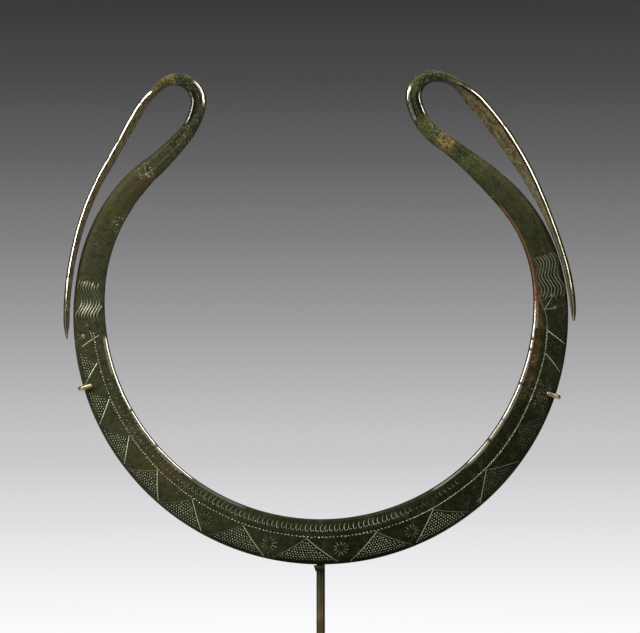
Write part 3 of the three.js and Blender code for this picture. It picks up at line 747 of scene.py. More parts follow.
# The spikes' front facets, polished and painted pale as a highlight over a part of their width,
# with painted shade beside: [from, to, from share, to share].
POLISHED_FACET_HIGHLIGHTS = [[241, 340, 0.12, 0.54], [-340, -235, -0.32, 0.24]]
NICKS = [98.9, 112.3, 116.6, -88.0, -71.5, 74.0]


def stretch_between(station, start, end):
    """1 from start to end, fading over 3 mm at both."""
    return ease(station, start - 1.5, start + 1.5) * (1 - ease(station, end - 1.5, end + 1.5))


def polish_highlight_share(normal, station, section):
    """1 on the polished runs with their painted highlight, -1 in the painted shade beside them.

    On the band the polish and its painted highlight lie 0.3 to 1 mm from the inner edge, on the
    loops where the section is tilted 18 to 48 degrees, on the spikes between two shares of the
    thickness.
    """
    across, deep = section.T
    inner, outer = bar_at(station, "inner"), bar_at(station, "outer")
    tilt = np.degrees(np.arccos(np.clip(-normal[:, 1], -1, 1)))
    by_tilt = ease(tilt, 17, 20) * (1 - ease(tilt, 46, 50))
    by_tilt -= ease(tilt, 5, 9) * (1 - ease(tilt, 14, 17)) + ease(tilt, 50, 54) * (1 - ease(tilt, 72, 84))
    edge = across + inner
    by_edge = ease(edge, 0.22, 0.36) * (1 - ease(edge, 0.92, 1.04)) * (1 - ease(tilt, 62, 80))
    by_edge -= ease(edge, 0.96, 1.08) * (1 - ease(edge, 1.25, 1.45))
    share = np.zeros(len(station))
    for start, end, side, strength in POLISHED_HIGHLIGHTS:
        run = strength * stretch_between(station, start, end)
        share = np.maximum(share, np.where(across * side >= 0, run, 0))
    for nick in NICKS:
        share = share * (1 - np.exp(-(((station - nick) / 0.6) ** 2)))
    roundness = bar_at(station, "roundness")
    polish_highlight_shade = (by_edge * (1 - roundness) + by_tilt * roundness) * share
    u = (2 * across - outer + inner) / (outer + inner)
    on_front = 1 - ease(deep + bar_at(station, "depth") / 2, 0.7, 1.2)
    for start, end, low, high in POLISHED_FACET_HIGHLIGHTS:
        facet = ease(u, low - 0.08, low + 0.08) * (1 - ease(u, high - 0.08, high + 0.08))
        beside = np.maximum(ease(u, high, high + 0.15), 1 - ease(u, low - 0.15, low))
        past_facet = np.abs(u - (low + high) / 2) - (high - low) / 2
        beside = beside * (1 - ease(past_facet, 0.3, 0.5))
        polish_highlight_shade += (facet - beside) * on_front * stretch_between(station, start, end)
    return np.clip(polish_highlight_shade, -1, 1)


normal_of = np.concatenate([grid_normal.reshape(-1, 3), [[0, -1, 0], [0, -1, 0]], patch_normal])
polish_highlight_of = polish_highlight_share(normal_of, station_of, section_of)


def add_mesh(name, vertices, faces, attributes=(), sharp_angle=32):
    """A new object from vertices and faces, with doubles merged, smooth but for its sharp edges."""
    mesh = bpy.data.meshes.new(name)
    mesh.from_pydata(np.asarray(vertices).tolist(), [], faces)
    for label, kind, domain, values in attributes:
        layer = mesh.attributes.new(label, kind, domain)
        layer.data.foreach_set("vector" if kind == "FLOAT_VECTOR" else "value", np.ravel(values))
    work = bmesh.new()
    work.from_mesh(mesh)
    bmesh.ops.remove_doubles(work, verts=work.verts, dist=1e-6)
    bmesh.ops.dissolve_degenerate(work, edges=work.edges, dist=1e-7)
    bmesh.ops.holes_fill(work, edges=[edge for edge in work.edges if edge.is_boundary], sides=0)
    loose = [vertex for vertex in work.verts if not vertex.link_faces]
    bmesh.ops.delete(work, geom=loose, context="VERTS")
    work.to_mesh(mesh)
    work.free()
    mesh.shade_smooth()
    mesh.set_sharp_from_angle(angle=np.radians(sharp_angle))
    piece = bpy.data.objects.new(name, mesh)
    bpy.context.scene.collection.objects.link(piece)
    return piece


def dress(piece, node):
    """Puts a piece in the place of a CAD node: it rides on the one body there is."""
    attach(piece, "root")
    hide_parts(node)


# The attributes carry the cuts' painted glint and shade, and the polished runs' painted highlight and shade.
torc = add_mesh("engraved_torc", torc_vertices, torc_faces, [
    ("bar_way", "FLOAT_VECTOR", "POINT", bar_way),
    ("polish_highlight_shade", "FLOAT", "POINT", polish_highlight_of),
    ("cut_glint_and_shade", "FLOAT", "FACE", glint_and_shade_of),
])
dress(torc, "torc")


# ---- The bronze's patina -------------------------------------------------------------------
# Buried bronze: a smooth dark olive skin with browner and copper-brown places, pale crust in the
# pits, metal on the polished edges painted pale as highlights, painted shade across the skin and
# in the cuts, and fine scratches along the bar.


def new_group(name, inputs, outputs):
    """An empty shader node group with named sockets, and its input and output nodes."""
    group = bpy.data.node_groups.new(name, "ShaderNodeTree")
    for label, kind, value in inputs:
        socket = group.interface.new_socket(label, in_out="INPUT", socket_type="NodeSocket" + kind)
        if value is not None:
            socket.default_value = value
    for label, kind in outputs:
        group.interface.new_socket(label, in_out="OUTPUT", socket_type="NodeSocket" + kind)
    return group, group.nodes.new("NodeGroupInput"), group.nodes.new("NodeGroupOutput")


def feed(tree, socket, value):
    """Links a socket to another one, or sets its value."""
    if isinstance(value, bpy.types.NodeSocket):
        tree.links.new(value, socket)
    else:
        socket.default_value = value


def add_node(tree, kind, settings=(), **inputs):
    """A node with its settings made and its inputs fed. i0, i1 and so on name an input by its number."""
    node = tree.nodes.new("ShaderNode" + kind)
    for name, value in dict(settings).items():
        setattr(node, name, value)
    for name, value in inputs.items():
        numbered = name[0] == "i" and name[1:].isdigit()
        feed(tree, node.inputs[int(name[1:]) if numbered else name.replace("_", " ")], value)
    return node


def math(tree, operation, first, second=0.0):
    return add_node(tree, "Math", {"operation": operation}, i0=first, i1=second).outputs[0]


def times(tree, first, second):
    return math(tree, "MULTIPLY", first, second)


def between(tree, value, low, high, to_low=0.0, to_high=1.0):
    """The value's place between low and high as a smooth share."""
    node = add_node(tree, "MapRange", {"interpolation_type": "SMOOTHSTEP"}, Value=value)
    for name, number in (("From Min", low), ("From Max", high), ("To Min", to_low), ("To Max", to_high)):
        node.inputs[name].default_value = number
    return node.outputs["Result"]


def blend(tree, share, first, second):
    """A mix of two colours. A Mix node's colour inputs are its numbers 6 and 7."""
    return add_node(tree, "Mix", {"data_type": "RGBA"}, i0=share, i6=first, i7=second).outputs[2]


def noise(tree, where, scale, detail=3.0, roughness=0.5, distortion=0.0):
    node = add_node(tree, "TexNoise", Vector=where, Scale=scale, Detail=detail, Roughness=roughness)
    node.inputs["Distortion"].default_value = distortion
    return node.outputs["Fac"]


def linear(red, green, blue):
    """A colour given in the 0-255 values of a paint chart, as scene-linear RGBA."""
    value = np.array([red, green, blue]) / 255
    out = np.where(value <= 0.04045, value / 12.92, ((value + 0.055) / 1.055) ** 2.4)
    return (*out.tolist(), 1.0)


# A ragged stain round a place: 1 at its centre, 0 beyond its reach.
stain_group, stain_in, stain_out = new_group(
    "ragged_stain",
    [
        ("Place", "Vector", None), ("Centre", "Vector", None),
        ("Reach", "Float", 0.01), ("Grain", "Float", 300.0),
    ],
    [("Mask", "Float")],
)
distance = add_node(
    stain_group, "VectorMath", {"operation": "DISTANCE"},
    i0=stain_in.outputs["Place"], i1=stain_in.outputs["Centre"],
).outputs["Value"]
ragged = noise(stain_group, stain_in.outputs["Place"], stain_in.outputs["Grain"], 4.0, 0.6)
share = math(stain_group, "DIVIDE", distance, stain_in.outputs["Reach"])
ragged = times(stain_group, math(stain_group, "SUBTRACT", ragged, 0.5), 1.6)
share = math(stain_group, "ADD", share, ragged)
stain_group.links.new(between(stain_group, share, 1.0, 0.35), stain_out.inputs["Mask"])


def stain(tree, place, centre, reach):
    settings = {"node_tree": stain_group}
    return add_node(tree, "Group", settings, Place=place, Centre=centre, Reach=reach).outputs["Mask"]


# Fine scratches: noise drawn out along one direction of the vector that is read.
scratch_group, scratch_in, scratch_out = new_group(
    "fine_scratches",
    [("Place", "Vector", None), ("Stretch", "Vector", None), ("Scale", "Float", 1.0)],
    [("Height", "Float"), ("Mask", "Float")],
)
drawn = add_node(
    scratch_group, "VectorMath", {"operation": "MULTIPLY"},
    i0=scratch_in.outputs["Place"], i1=scratch_in.outputs["Stretch"],
).outputs["Vector"]
grain = noise(scratch_group, drawn, scratch_in.outputs["Scale"], 6.0, 0.65, 0.3)
scratch_group.links.new(grain, scratch_out.inputs["Height"])
scratch_group.links.new(between(scratch_group, grain, 0.58, 0.72), scratch_out.inputs["Mask"])


def scratches(tree, place, stretch, scale):
    node = add_node(tree, "Group", {"node_tree": scratch_group}, Place=place, Stretch=stretch, Scale=scale)
    return node.outputs["Height"], node.outputs["Mask"]


def new_material(name):
    """A material with an unlinked Principled shader, and the object coordinates it reads."""
    material = bpy.data.materials.new(name)
    material.use_nodes = True
    tree = material.node_tree
    shader = tree.nodes["Principled BSDF"]
    place = tree.nodes.new("ShaderNodeTexCoord").outputs["Object"]
    return material, tree, shader, place


def wire(tree, shader, **sockets):
    for name, value in sockets.items():
        feed(tree, shader.inputs[name.replace("_", " ")], value)


bronze, tree, shader, place = new_material("patinated_bronze")
way = add_node(tree, "Attribute", {"attribute_name": "bar_way"}).outputs["Vector"]
polish_highlight_shade = add_node(tree, "Attribute", {"attribute_name": "polish_highlight_shade"}).outputs["Fac"]
glint_and_shade = add_node(tree, "Attribute", {"attribute_name": "cut_glint_and_shade"}).outputs["Fac"]

OLIVE = linear(60, 61, 41)
DARK_OLIVE = linear(17, 19, 10)
OLIVE_BROWN = linear(70, 64, 36)
COPPER_BROWN = linear(84, 62, 40)
MOSS = linear(66, 73, 42)
LICHEN_GREEN = linear(88, 92, 52)
MUSTARD = linear(132, 114, 64)
PALE_CRUST = linear(186, 180, 146)
GRIME_AND_SHADE = linear(8, 9, 4)
CUT_METAL_GLINT = linear(182, 184, 154)
BURNISHED_HIGHLIGHT = linear(196, 190, 168)
BURNISHED_COPPER_HIGHLIGHT = linear(160, 112, 78)

# The skin is painted lighter and greener at the top left and darker towards the bottom right:
# painted shade of the light from the upper left. It is cloudy too.
UP_AND_LEFT = (-0.9, 0.0, 1.0)
turned = add_node(tree, "VectorMath", {"operation": "DOT_PRODUCT"}, i0=place, i1=UP_AND_LEFT).outputs["Value"]
cloudy = noise(tree, place, 70.0, 6.0, 0.62, 0.3)
top_left_light_share = math(tree, "ADD", turned, times(tree, math(tree, "SUBTRACT", cloudy, 0.5), 0.14))
colour = blend(tree, between(tree, top_left_light_share, 0.02, 0.17), DARK_OLIVE, OLIVE)
along, across, _ = add_node(tree, "SeparateXYZ", Vector=way).outputs
from_bottom = math(tree, "ABSOLUTE", along)
mottle = noise(tree, place, 420.0, 6.0, 0.7)
colour = blend(tree, between(tree, mottle, 0.5, 0.7, 0.0, 0.35), colour, MOSS)
colour = blend(tree, between(tree, mottle, 0.5, 0.38, 0.0, 0.4), colour, GRIME_AND_SHADE)
speckle = noise(tree, place, 1500.0, 3.0, 0.6)
colour = blend(tree, between(tree, speckle, 0.52, 0.7, 0.0, 0.3), colour, OLIVE_BROWN)
colour = blend(tree, between(tree, speckle, 0.48, 0.3, 0.0, 0.6), colour, GRIME_AND_SHADE)

# The loops are mottled with yellow-green, and their hole side is painted darker as shade.
loops = times(tree, between(tree, from_bottom, 0.182, 0.2), between(tree, from_bottom, 0.24, 0.232))
mottled = times(tree, loops, between(tree, mottle, 0.5, 0.62, 0.0, 0.25))
colour = blend(tree, mottled, colour, LICHEN_GREEN)
hole_side_shade = times(tree, loops, between(tree, across, -0.002, 0.0012, 0.15, 0.6))
colour = blend(tree, hole_side_shade, colour, DARK_OLIVE)

STAINS = [
    (OLIVE_BROWN, (-0.070, -0.002, 0.181), 0.016, 0.7),
    (MUSTARD, (-0.0538, -0.002, 0.2222), 0.006, 0.8),
    (COPPER_BROWN, (-0.0558, -0.002, 0.2212), 0.004, 0.9),
    (COPPER_BROWN, (-0.0605, -0.002, 0.1885), 0.004, 0.9),
    (OLIVE_BROWN, (-0.057, -0.002, 0.0906), 0.009, 0.9),
    (COPPER_BROWN, (-0.0535, -0.002, 0.0865), 0.005, 0.5),
    (LICHEN_GREEN, (0.0383, -0.002, 0.2068), 0.007, 1.0),
    (MUSTARD, (0.0435, -0.002, 0.2015), 0.0048, 1.0),
    (LICHEN_GREEN, (0.0313, -0.002, 0.2208), 0.005, 0.8),
    (LICHEN_GREEN, (0.0545, -0.002, 0.194), 0.007, 0.5),
]
fleck = between(tree, noise(tree, place, 1400.0, 5.0, 0.7), 0.44, 0.56, 0.1, 1.0)
for shade, centre, reach, strength in STAINS:
    share = times(tree, stain(tree, place, centre, reach), times(tree, fleck, strength))
    colour = blend(tree, share, colour, shade)

# The right half's inner zone is browner towards its edge.
inner_zone = times(tree, between(tree, across, -0.0024, -0.004), between(tree, along, 0.088, 0.108))
inner_zone = times(tree, inner_zone, between(tree, along, 0.15, 0.128))
inner_zone = times(tree, inner_zone, between(tree, mottle, 0.4, 0.6, 0.1, 0.8))
colour = blend(tree, inner_zone, colour, linear(72, 56, 34))
flecks = between(tree, noise(tree, place, 1300.0, 3.0, 0.6), 0.6, 0.66)
golden_flecks = times(tree, inner_zone, flecks)
colour = blend(tree, golden_flecks, colour, MUSTARD)

# The spikes' inner faces have kept a pitted golden skin, paler towards the tips.
right_spike = between(tree, along, 0.236, 0.246)
left_spike = between(tree, along, -0.23, -0.24)
golden = math(tree, "MAXIMUM", right_spike, left_spike)
golden = times(tree, golden, between(tree, across, -0.0004, 0.0004))
skin = blend(tree, between(tree, mottle, 0.36, 0.64), linear(78, 72, 48), linear(142, 128, 90))
rusty = between(tree, noise(tree, place, 800.0, 4.0, 0.6), 0.56, 0.64, 0.0, 0.5)
rusty = times(tree, rusty, between(tree, along, 0.245, 0.252))
skin = blend(tree, rusty, skin, linear(184, 128, 72))
paler = times(tree, between(tree, along, 0.27, 0.29), between(tree, mottle, 0.3, 0.6, 0.2, 0.8))
skin = blend(tree, paler, skin, linear(160, 154, 112))
pocked = between(tree, noise(tree, place, 1400.0, 4.0, 0.7), 0.5, 0.42, 0.0, 0.55)
skin = blend(tree, pocked, skin, GRIME_AND_SHADE)
colour = blend(tree, golden, colour, skin)

crust = noise(tree, place, 1500.0, 6.0, 0.7)
crust_places = between(tree, noise(tree, place, 75.0, 2.0), 0.6, 0.68, 0.0, 0.4)
crust_places = math(tree, "MAXIMUM", crust_places, times(tree, loops, 0.3))
for centre, reach in (((-0.0615, -0.002, 0.1914), 0.004), ((-0.0702, -0.002, 0.1728), 0.005)):
    crust_places = math(tree, "MAXIMUM", crust_places, stain(tree, place, centre, reach))
crust_mask = times(tree, between(tree, crust, 0.56, 0.61), crust_places)
colour = blend(tree, times(tree, crust_mask, 0.85), colour, PALE_CRUST)
scratch_height, scratch_mask = scratches(tree, way, (18.0, 900.0, 900.0), 2.2)
scratch_mask = times(tree, scratch_mask, between(tree, from_bottom, 0.125, 0.15, 0.05, 0.2))
colour = blend(tree, scratch_mask, colour, PALE_CRUST)

# Polished shoulders and the shallow side of each cut show metal, painted pale as highlights;
# the lines beside them are painted dark as shade.
gap = between(tree, noise(tree, way, 350.0, 3.0, 0.6), 0.7, 0.76)
bare_highlight = times(tree, between(tree, polish_highlight_shade, 0.0, 1.0), math(tree, "SUBTRACT", 1.0, gap))
bright_cut = between(tree, glint_and_shade, 0.0, 1.0, 0.0, 0.95)
dark_cut = between(tree, glint_and_shade, 0.0, -0.8, 0.0, 0.9)
edge_and_cut_shade = math(tree, "MAXIMUM", dark_cut, between(tree, polish_highlight_shade, 0.0, -0.8, 0.0, 0.9))
colour = blend(tree, edge_and_cut_shade, colour, GRIME_AND_SHADE)
colour = blend(tree, bright_cut, colour, CUT_METAL_GLINT)
# On the right's inner edge the painted highlight is copper-coloured.
copper_highlight_share = times(tree, between(tree, along, 0.12, 0.134), between(tree, along, 0.2, 0.18))
colour = blend(tree, bare_highlight, colour, blend(tree, copper_highlight_share, BURNISHED_HIGHLIGHT, BURNISHED_COPPER_HIGHLIGHT))

metal = math(tree, "MAXIMUM", bare_highlight, times(tree, bright_cut, 0.4))
skin_roughness = between(tree, noise(tree, place, 150.0, 4.0, 0.6), 0.3, 0.7, 0.38, 0.5)
dulled = times(tree, math(tree, "ADD", crust_mask, edge_and_cut_shade), 0.2)
skin_roughness = math(tree, "ADD", skin_roughness, dulled)
roughness = math(tree, "SUBTRACT", skin_roughness, times(tree, metal, 0.26))
rough_share = math(tree, "SUBTRACT", 1.0, times(tree, metal, 0.9))
fine_bump = add_node(
    tree, "Bump", Height=scratch_height, Strength=times(tree, rough_share, 0.1), Distance=0.0002
).outputs["Normal"]
crust_bump = add_node(
    tree, "Bump", Height=crust, Strength=times(tree, rough_share, 0.15), Distance=0.0003,
    Normal=fine_bump,
).outputs["Normal"]
wire(tree, shader, Base_Color=colour, Roughness=roughness, Metallic=metal, Normal=crust_bump)
shader.inputs["Specular IOR Level"].default_value = 0.15
shader.inputs["Specular Tint"].default_value = linear(236, 228, 176)
torc.data.materials.append(bronze)

# ---- The stand -----------------------------------------------------------------------------
# A soldered brass stand: a bow of round rod behind the ring, a stem from the foot up to it, a
# small seat on the stem's front, and a wire clip at each side that laps over the ring's face.

CLEARANCE = 0.3
STEM_RADIUS = 1.5
BOW_RADIUS = 1.2
CLIP_RADIUS, CLIP_BEND, CLIP_GRIP = 0.8, 1.7, 3.6
CLIP_ANGLES = {"left": 73.4, "right": 71.4}
rod_depth = BAND_DEPTH / 2 + CLEARANCE + STEM_RADIUS


def rod_mesh(path, radius, sides, dome):
    """A round rod: circles of `radius` square to the path, each end a dome or a cut disc.

    The circle's frame is carried along the path with as little twist as its turns allow.
    """
    length = np.concatenate([[0], np.cumsum(np.linalg.norm(np.diff(path, axis=0), axis=1))])
    from_end = np.minimum(length, length[-1] - length)
    into_dome = np.clip(1 - from_end / (radius * dome), 0, 1)
    radii = radius * np.sqrt(1 - into_dome**2 * 0.98)
    run = np.gradient(path, axis=0)
    run /= np.linalg.norm(run, axis=1, keepdims=True)
    still = np.array([0.0, 1.0, 0.0]) if abs(run[0, 1]) < 0.9 else np.array([1.0, 0.0, 0.0])
    side = np.cross(run, still)
    weak = np.linalg.norm(side, axis=1) < 1e-6
    side[weak] = np.cross(run[weak], [1.0, 0.0, 0.0])
    side /= np.linalg.norm(side, axis=1, keepdims=True)
    up = np.cross(side, run)
    turn = np.linspace(0, 2 * np.pi, sides, endpoint=False)
    ring = np.cos(turn)[None, :, None] * side[:, None] + np.sin(turn)[None, :, None] * up[:, None]
    return path[:, None] + ring * radii[:, None, None]


def closed_tube(places):
    """Faces of a tube of sections (row, column, xyz), with a fan at each end."""
    rows, count = places.shape[:2]
    row, column = np.meshgrid(np.arange(rows - 1), np.arange(count), indexing="ij")
    row, column = row.ravel(), column.ravel()
    beside = (column + 1) % count
    quads = np.stack([
        row * count + column, (row + 1) * count + column, (row + 1) * count + beside, row * count + beside
    ], 1)
    last = (rows - 1) * count
    ends = np.stack([places[0].mean(0), places[-1].mean(0)])
    around = np.arange(count)
    first_fan = np.stack([np.full(count, rows * count), around, (around + 1) % count], 1)
    last_fan = np.stack([np.full(count, rows * count + 1), last + (around + 1) % count, last + around], 1)
    vertices = np.concatenate([places.reshape(-1, 3), ends])
    return vertices, quads.tolist() + first_fan.tolist() + last_fan.tolist()


def add_tube(name, places):
    vertices, faces = closed_tube(places)
    piece = add_mesh(name, vertices * MM, faces, sharp_angle=50)
    if signed_volume(piece) < 0:
        piece.data.flip_normals()
    return piece


def signed_volume(piece):
    """A closed piece's volume, less than 0 where its faces look inwards."""
    work = bmesh.new()
    work.from_mesh(piece.data)
    volume = work.calc_volume(signed=True)
    work.free()
    return volume


def ring_centre(angle):
    """The centreline of the band at an angle in radians, as (x, z) above the ring's base."""
    radius = (OUTER_RADIUS + inner_radius_at(angle)) / 2
    return np.sin(angle) * radius, OUTER_RADIUS - np.cos(angle) * radius


brass, tree, shader, place = new_material("stand_brass")
dull = noise(tree, place, 160.0, 5.0, 0.6)
colour = blend(tree, between(tree, dull, 0.35, 0.7), linear(96, 82, 52), linear(120, 106, 72))
aside, _, height = add_node(tree, "SeparateXYZ", Vector=place).outputs
colour = blend(tree, between(tree, height, 0.036, 0.048), colour, linear(76, 74, 48))
# Painted shadow: the stem's top is painted black under the ring, and its right side is painted
# dark as a dark reflection.
ring_shadow_black = between(tree, height, 0.0492, 0.0518, 0.0, 0.9)
ring_shadow_black = times(tree, ring_shadow_black, between(tree, height, 0.0524, 0.053, 1.0, 0.3))
colour = blend(tree, ring_shadow_black, colour, GRIME_AND_SHADE)
on_stem = between(tree, height, 0.0526, 0.0522)
side_shade_dark = times(tree, between(tree, aside, 0.0006, 0.0011, 0.0, 0.85), on_stem)
colour = blend(tree, side_shade_dark, colour, GRIME_AND_SHADE)
drawn_height, drawn_mask = scratches(tree, place, (700.0, 700.0, 25.0), 2.0)
colour = blend(tree, times(tree, drawn_mask, 0.3), colour, linear(160, 146, 104))
bump = add_node(tree, "Bump", Height=drawn_height, Strength=0.1, Distance=0.0002).outputs["Normal"]
wire(tree, shader, Base_Color=colour, Metallic=0.8, Normal=bump)
wire(tree, shader, Roughness=between(tree, dull, 0.3, 0.7, 0.32, 0.5))

stem_top = ring_base + ring_centre(0.0)[1] - BOW_RADIUS - CLEARANCE
foot_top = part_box("foot")[1][2] / MM
stem_line = np.linspace(foot_top + CLEARANCE, stem_top, 60)
stem = add_tube("stem_rod", rod_mesh(
    np.column_stack([np.zeros(60), np.full(60, rod_depth), stem_line]), STEM_RADIUS, 32, 0.12
))
dress(stem, "stem")
stem.data.materials.append(brass)

end_gap = (CLIP_RADIUS + CLEARANCE) / INNER_RADIUS
bow_angle = np.linspace(
    -np.radians(CLIP_ANGLES["left"]) + end_gap, np.radians(CLIP_ANGLES["right"]) - end_gap, 160
)
bow_x, bow_z = ring_centre(bow_angle)
bow = add_tube("bow_rod", rod_mesh(
    np.column_stack([bow_x, np.full(160, rod_depth), ring_base + bow_z]), BOW_RADIUS, 24, 0.12
))
dress(bow, "bow")
bow.data.materials.append(brass)

# The seat under the ring: a short square block that widens upwards, set cornerwise.
SEAT_TOP, SEAT_BOTTOM, SEAT_TALL, SEAT_ASIDE = 2.0, 1.4, 1.7, -0.5
seat_low, seat_high = np.array(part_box("seat")) / MM
seat_depth = (seat_low[1] + seat_high[1]) / 2
corner = np.array([[0, -1], [1, 0], [0, 1], [-1, 0]])
SEAT_FOOT = 0.4  # a straight stretch below the flare
SEAT_SQUASH = [1, 0.8]  # it is less deep than wide
levels = [(SEAT_TALL + SEAT_FOOT, SEAT_BOTTOM), (SEAT_TALL, SEAT_BOTTOM), (0, SEAT_TOP)]
seat_rows = np.array([
    np.column_stack([
        corner * reach * SEAT_SQUASH + [SEAT_ASIDE, seat_depth], np.full(4, seat_high[2] - below)
    ])
    for below, reach in levels
])
seat = add_tube("seat_block", seat_rows)
seat.data.shade_flat()
dress(seat, "seat")
seat.data.materials.append(brass)

# The clips: paler wire, filed round at its tip.
clip_brass, tree, shader, place = new_material("clip_brass")
dull = noise(tree, place, 900.0, 4.0, 0.6)
colour = blend(tree, between(tree, dull, 0.35, 0.68), linear(150, 138, 92), linear(206, 198, 156))
bump = add_node(tree, "Bump", Height=dull, Strength=0.2, Distance=0.0002).outputs["Normal"]
wire(tree, shader, Base_Color=colour, Roughness=0.3, Metallic=0.9, Normal=bump)


def bezier(a, b, c, count):
    """Points of a quadratic curve from a to c that heads for b."""
    t = np.linspace(0, 1, count)[:, None]
    return (1 - t) ** 2 * a + 2 * t * (1 - t) * b + t**2 * c


def clip_path(side, degrees):
    """From the bow outwards behind the ring, round its edge and back over its face."""
    angle = np.radians(degrees)
    outward = np.array([side * np.sin(angle), 0, -np.cos(angle)])
    centre = np.array([0, 0, ring_base + OUTER_RADIUS])

    def at(radius, depth):
        return centre + outward * radius + [0, depth, 0]

    x, z = ring_centre(angle)
    start = np.hypot(x, OUTER_RADIUS - z) - CLIP_RADIUS
    edge = OUTER_RADIUS + CLEARANCE + CLIP_RADIUS
    front_depth = -(BAND_DEPTH / 2 + CLEARANCE + CLIP_RADIUS)
    t = np.linspace(0, 1, 12)[:, None]
    first, bend_start = at(start, rod_depth), at(edge - CLIP_BEND, rod_depth)
    side_top, side_low = at(edge, rod_depth - CLIP_BEND), at(edge, front_depth + CLIP_BEND)
    lap, tip = at(edge - CLIP_BEND, front_depth), at(OUTER_RADIUS - CLIP_GRIP, front_depth)
    return np.concatenate([
        first + (bend_start - first) * t[:-1],
        bezier(bend_start, at(edge, rod_depth), side_top, 10)[:-1],
        side_top + (side_low - side_top) * t[:-1],
        bezier(side_low, at(edge, front_depth), lap, 10)[:-1],
        lap + (tip - lap) * np.sqrt(t),
    ])


for name, side in (("left", -1), ("right", 1)):
    clip = add_tube("clip_wire_" + name, rod_mesh(clip_path(side, CLIP_ANGLES[name]), CLIP_RADIUS, 20, 1.0))
    dress(clip, "clip_" + name)
    clip.data.materials.append(clip_brass)

# The foot: a flat block, painted matt dark grey.
foot_paint, tree, shader, place = new_material("foot_paint")
grainy = noise(tree, place, 1400.0, 4.0, 0.6)
uneven = between(tree, noise(tree, place, 40.0, 4.0), 0.35, 0.7)
colour = blend(tree, uneven, linear(38, 38, 39), linear(48, 48, 48))
bump = add_node(tree, "Bump", Height=grainy, Strength=0.25, Distance=0.0003).outputs["Normal"]
wire(tree, shader, Base_Color=colour, Roughness=between(tree, grainy, 0.3, 0.7, 0.5, 0.65), Normal=bump)
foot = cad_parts["foot"]
foot.data.materials.clear()
foot.data.materials.append(foot_paint)

# ---- Floor, light and camera ---------------------------------------------------------------
# A pale studio bowl whose floor curves up into its wall, two tall soft strips that draw the bright
# lines along the polished edges, a small key lamp, and soft light from above and behind.

BACKDROP_RADIUS, BACKDROP_HEIGHT, COVE, BOWL_SIDES = 2.4, 1.5, 0.25, 96
floor_line = np.array([[0.1, 0.0], [0.3, 0.0], [0.6, 0.0], [1.0, 0.0], [1.5, 0.0]])
arc = np.linspace(0, np.pi / 2, 16)
cove_line = np.column_stack([BACKDROP_RADIUS - COVE + COVE * np.sin(arc), COVE - COVE * np.cos(arc)])
profile = np.concatenate([floor_line, cove_line, [[BACKDROP_RADIUS, BACKDROP_HEIGHT]]])
turn = np.linspace(0, 2 * np.pi, BOWL_SIDES + 1)[:-1]
bowl = np.stack([
    profile[:, :1] * np.cos(turn), profile[:, :1] * np.sin(turn), np.repeat(profile[:, 1:], BOWL_SIDES, 1),
], -1)
rows, count = bowl.shape[:2]
row, column = np.meshgrid(np.arange(rows - 1), np.arange(count), indexing="ij")
row, column = row.ravel(), column.ravel()
beside = (column + 1) % count
bowl_faces = np.stack([
    row * count + column, row * count + beside, (row + 1) * count + beside, (row + 1) * count + column,
], 1).tolist()
bowl_faces.append(list(range(count)))
bowl_mesh = bpy.data.meshes.new("studio_bowl")
bowl_mesh.from_pydata(bowl.reshape(-1, 3).tolist(), [], bowl_faces)
bowl_mesh.shade_smooth()
studio = bpy.data.objects.new("studio_bowl", bowl_mesh)
bpy.context.scene.collection.objects.link(studio)

# The backdrop glows from white at the floor to dark grey above, one ramp over floor and wall:
# p = height - 0.12 * (wall's radius - distance from the middle).
studio_paint, tree, shader, place = new_material("studio_paint")
height = add_node(tree, "SeparateXYZ", Vector=place).outputs["Z"]
flat_place = add_node(
    tree, "VectorMath", {"operation": "MULTIPLY"}, i0=place, i1=(1.0, 1.0, 0.0)
).outputs["Vector"]
from_middle = add_node(tree, "VectorMath", {"operation": "LENGTH"}, i0=flat_place).outputs["Value"]
inwards = times(tree, math(tree, "SUBTRACT", BACKDROP_RADIUS, from_middle), 0.12)
ramp_place = math(tree, "SUBTRACT", height, inwards)
GLOW = [
    (-0.248, 0.94), (-0.228, 0.89), (-0.194, 0.81), (-0.148, 0.72), (-0.078, 0.64), (0.0, 0.56),
    (0.137, 0.32), (0.221, 0.205), (0.305, 0.115), (0.389, 0.058), (0.473, 0.030),
]
GLOW_TINT = np.array([0.995, 0.99, 1.02])
DARK_TINT = np.array([1.0, 0.96, 1.08])
LOW, HIGH = -0.3, 0.5
ramp = tree.nodes.new("ShaderNodeValToRGB")
ramp_share = math(tree, "DIVIDE", math(tree, "SUBTRACT", ramp_place, LOW), HIGH - LOW)
tree.links.new(ramp_share, ramp.inputs["Fac"])
ends = ramp.color_ramp.elements
for spot, glow in GLOW[1:-1]:
    ends.new((spot - LOW) / (HIGH - LOW)).color = (*(glow * GLOW_TINT), 1)
ends[0].position, ends[-1].position = ((spot - LOW) / (HIGH - LOW) for spot in (GLOW[0][0], GLOW[-1][0]))
ends[0].color = (GLOW[0][1], GLOW[0][1], GLOW[0][1], 1)
ends[-1].color = (*(GLOW[-1][1] * DARK_TINT), 1)
near = between(tree, from_middle, 0.34, 0.12)
tree.links.new(blend(tree, near, (0.05, 0.05, 0.05, 1), (0.32, 0.32, 0.32, 1)), shader.inputs["Base Color"])
tree.links.new(ramp.outputs["Color"], shader.inputs["Emission Color"])
seen = tree.nodes.new("ShaderNodeLightPath").outputs["Is Camera Ray"]
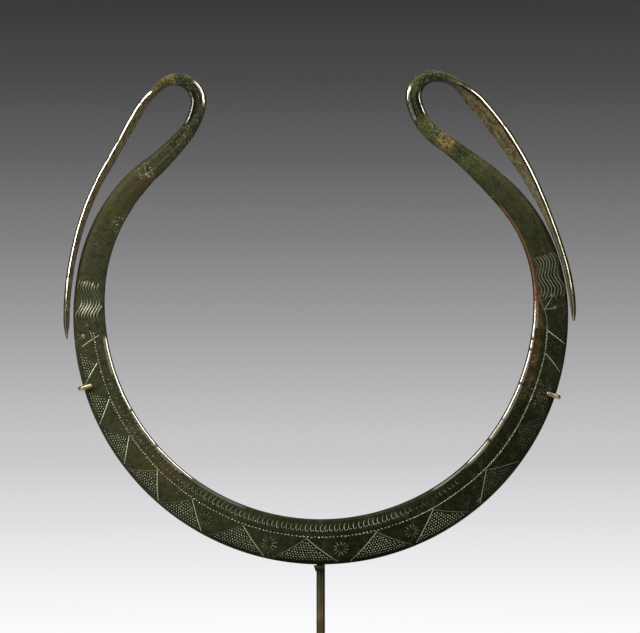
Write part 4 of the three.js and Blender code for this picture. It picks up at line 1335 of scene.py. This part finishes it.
# The torc is lit and mirrored by only a part of the glow, by more of it from the floor below.
unseen = math(tree, "ADD", 0.12, times(tree, near, 0.6))
glow_strength = times(tree, between(tree, near, 0.0, 1.0, 1.0, 0.55), math(tree, "MAXIMUM", seen, unseen))
tree.links.new(glow_strength, shader.inputs["Emission Strength"])
wire(tree, shader, Roughness=0.9)
shader.inputs["Specular IOR Level"].default_value = 0.0
bowl_mesh.materials.append(studio_paint)

target = np.array([0.0, 0.0, 0.14])


def softbox(name, place, width, tall, power):
    """A soft rectangular light at a place, facing the torc."""
    light = bpy.data.lights.new(name, "AREA")
    light.shape = "RECTANGLE"
    light.size, light.size_y = width, tall
    light.energy = power
    box = bpy.data.objects.new(name, light)
    box.location = place
    box.rotation_euler = Vector(np.array(place) - target).to_track_quat("Z", "Y").to_euler()
    box.visible_camera = False
    bpy.context.scene.collection.objects.link(box)


softbox("left_strip", (-0.77, -0.64, 0.72), 0.22, 1.4, 8)
softbox("right_strip", (0.77, -0.64, 0.72), 0.22, 1.4, 6.5)
softbox("key_lamp", (-0.4, -0.75, 1.0), 0.22, 0.22, 7)
softbox("back_lamp", (0.3, 1.2, 0.9), 0.8, 0.8, 2.5)
softbox("top_lamp", (0.0, 0.1, 1.6), 0.9, 0.9, 5)

world = bpy.data.worlds.new("studio_air")
world.use_nodes = True
world.node_tree.nodes["Background"].inputs["Color"].default_value = (0.6, 0.6, 0.62, 1)
world.node_tree.nodes["Background"].inputs["Strength"].default_value = 0.08
bpy.context.scene.world = world
bpy.context.scene.view_settings.view_transform = "Standard"

CAMERA_DISTANCE = 1.2
VIEW_WIDTH = 0.224
camera_data = bpy.data.cameras.new("camera")
camera_data.sensor_width = 36
camera_data.lens = 36 * CAMERA_DISTANCE / VIEW_WIDTH
camera = bpy.data.objects.new("camera", camera_data)
camera.location = (-0.00025, -CAMERA_DISTANCE, 0.1408)
camera.rotation_euler = (np.pi / 2, 0, 0)
bpy.context.scene.collection.objects.link(camera)
bpy.context.scene.camera = camera
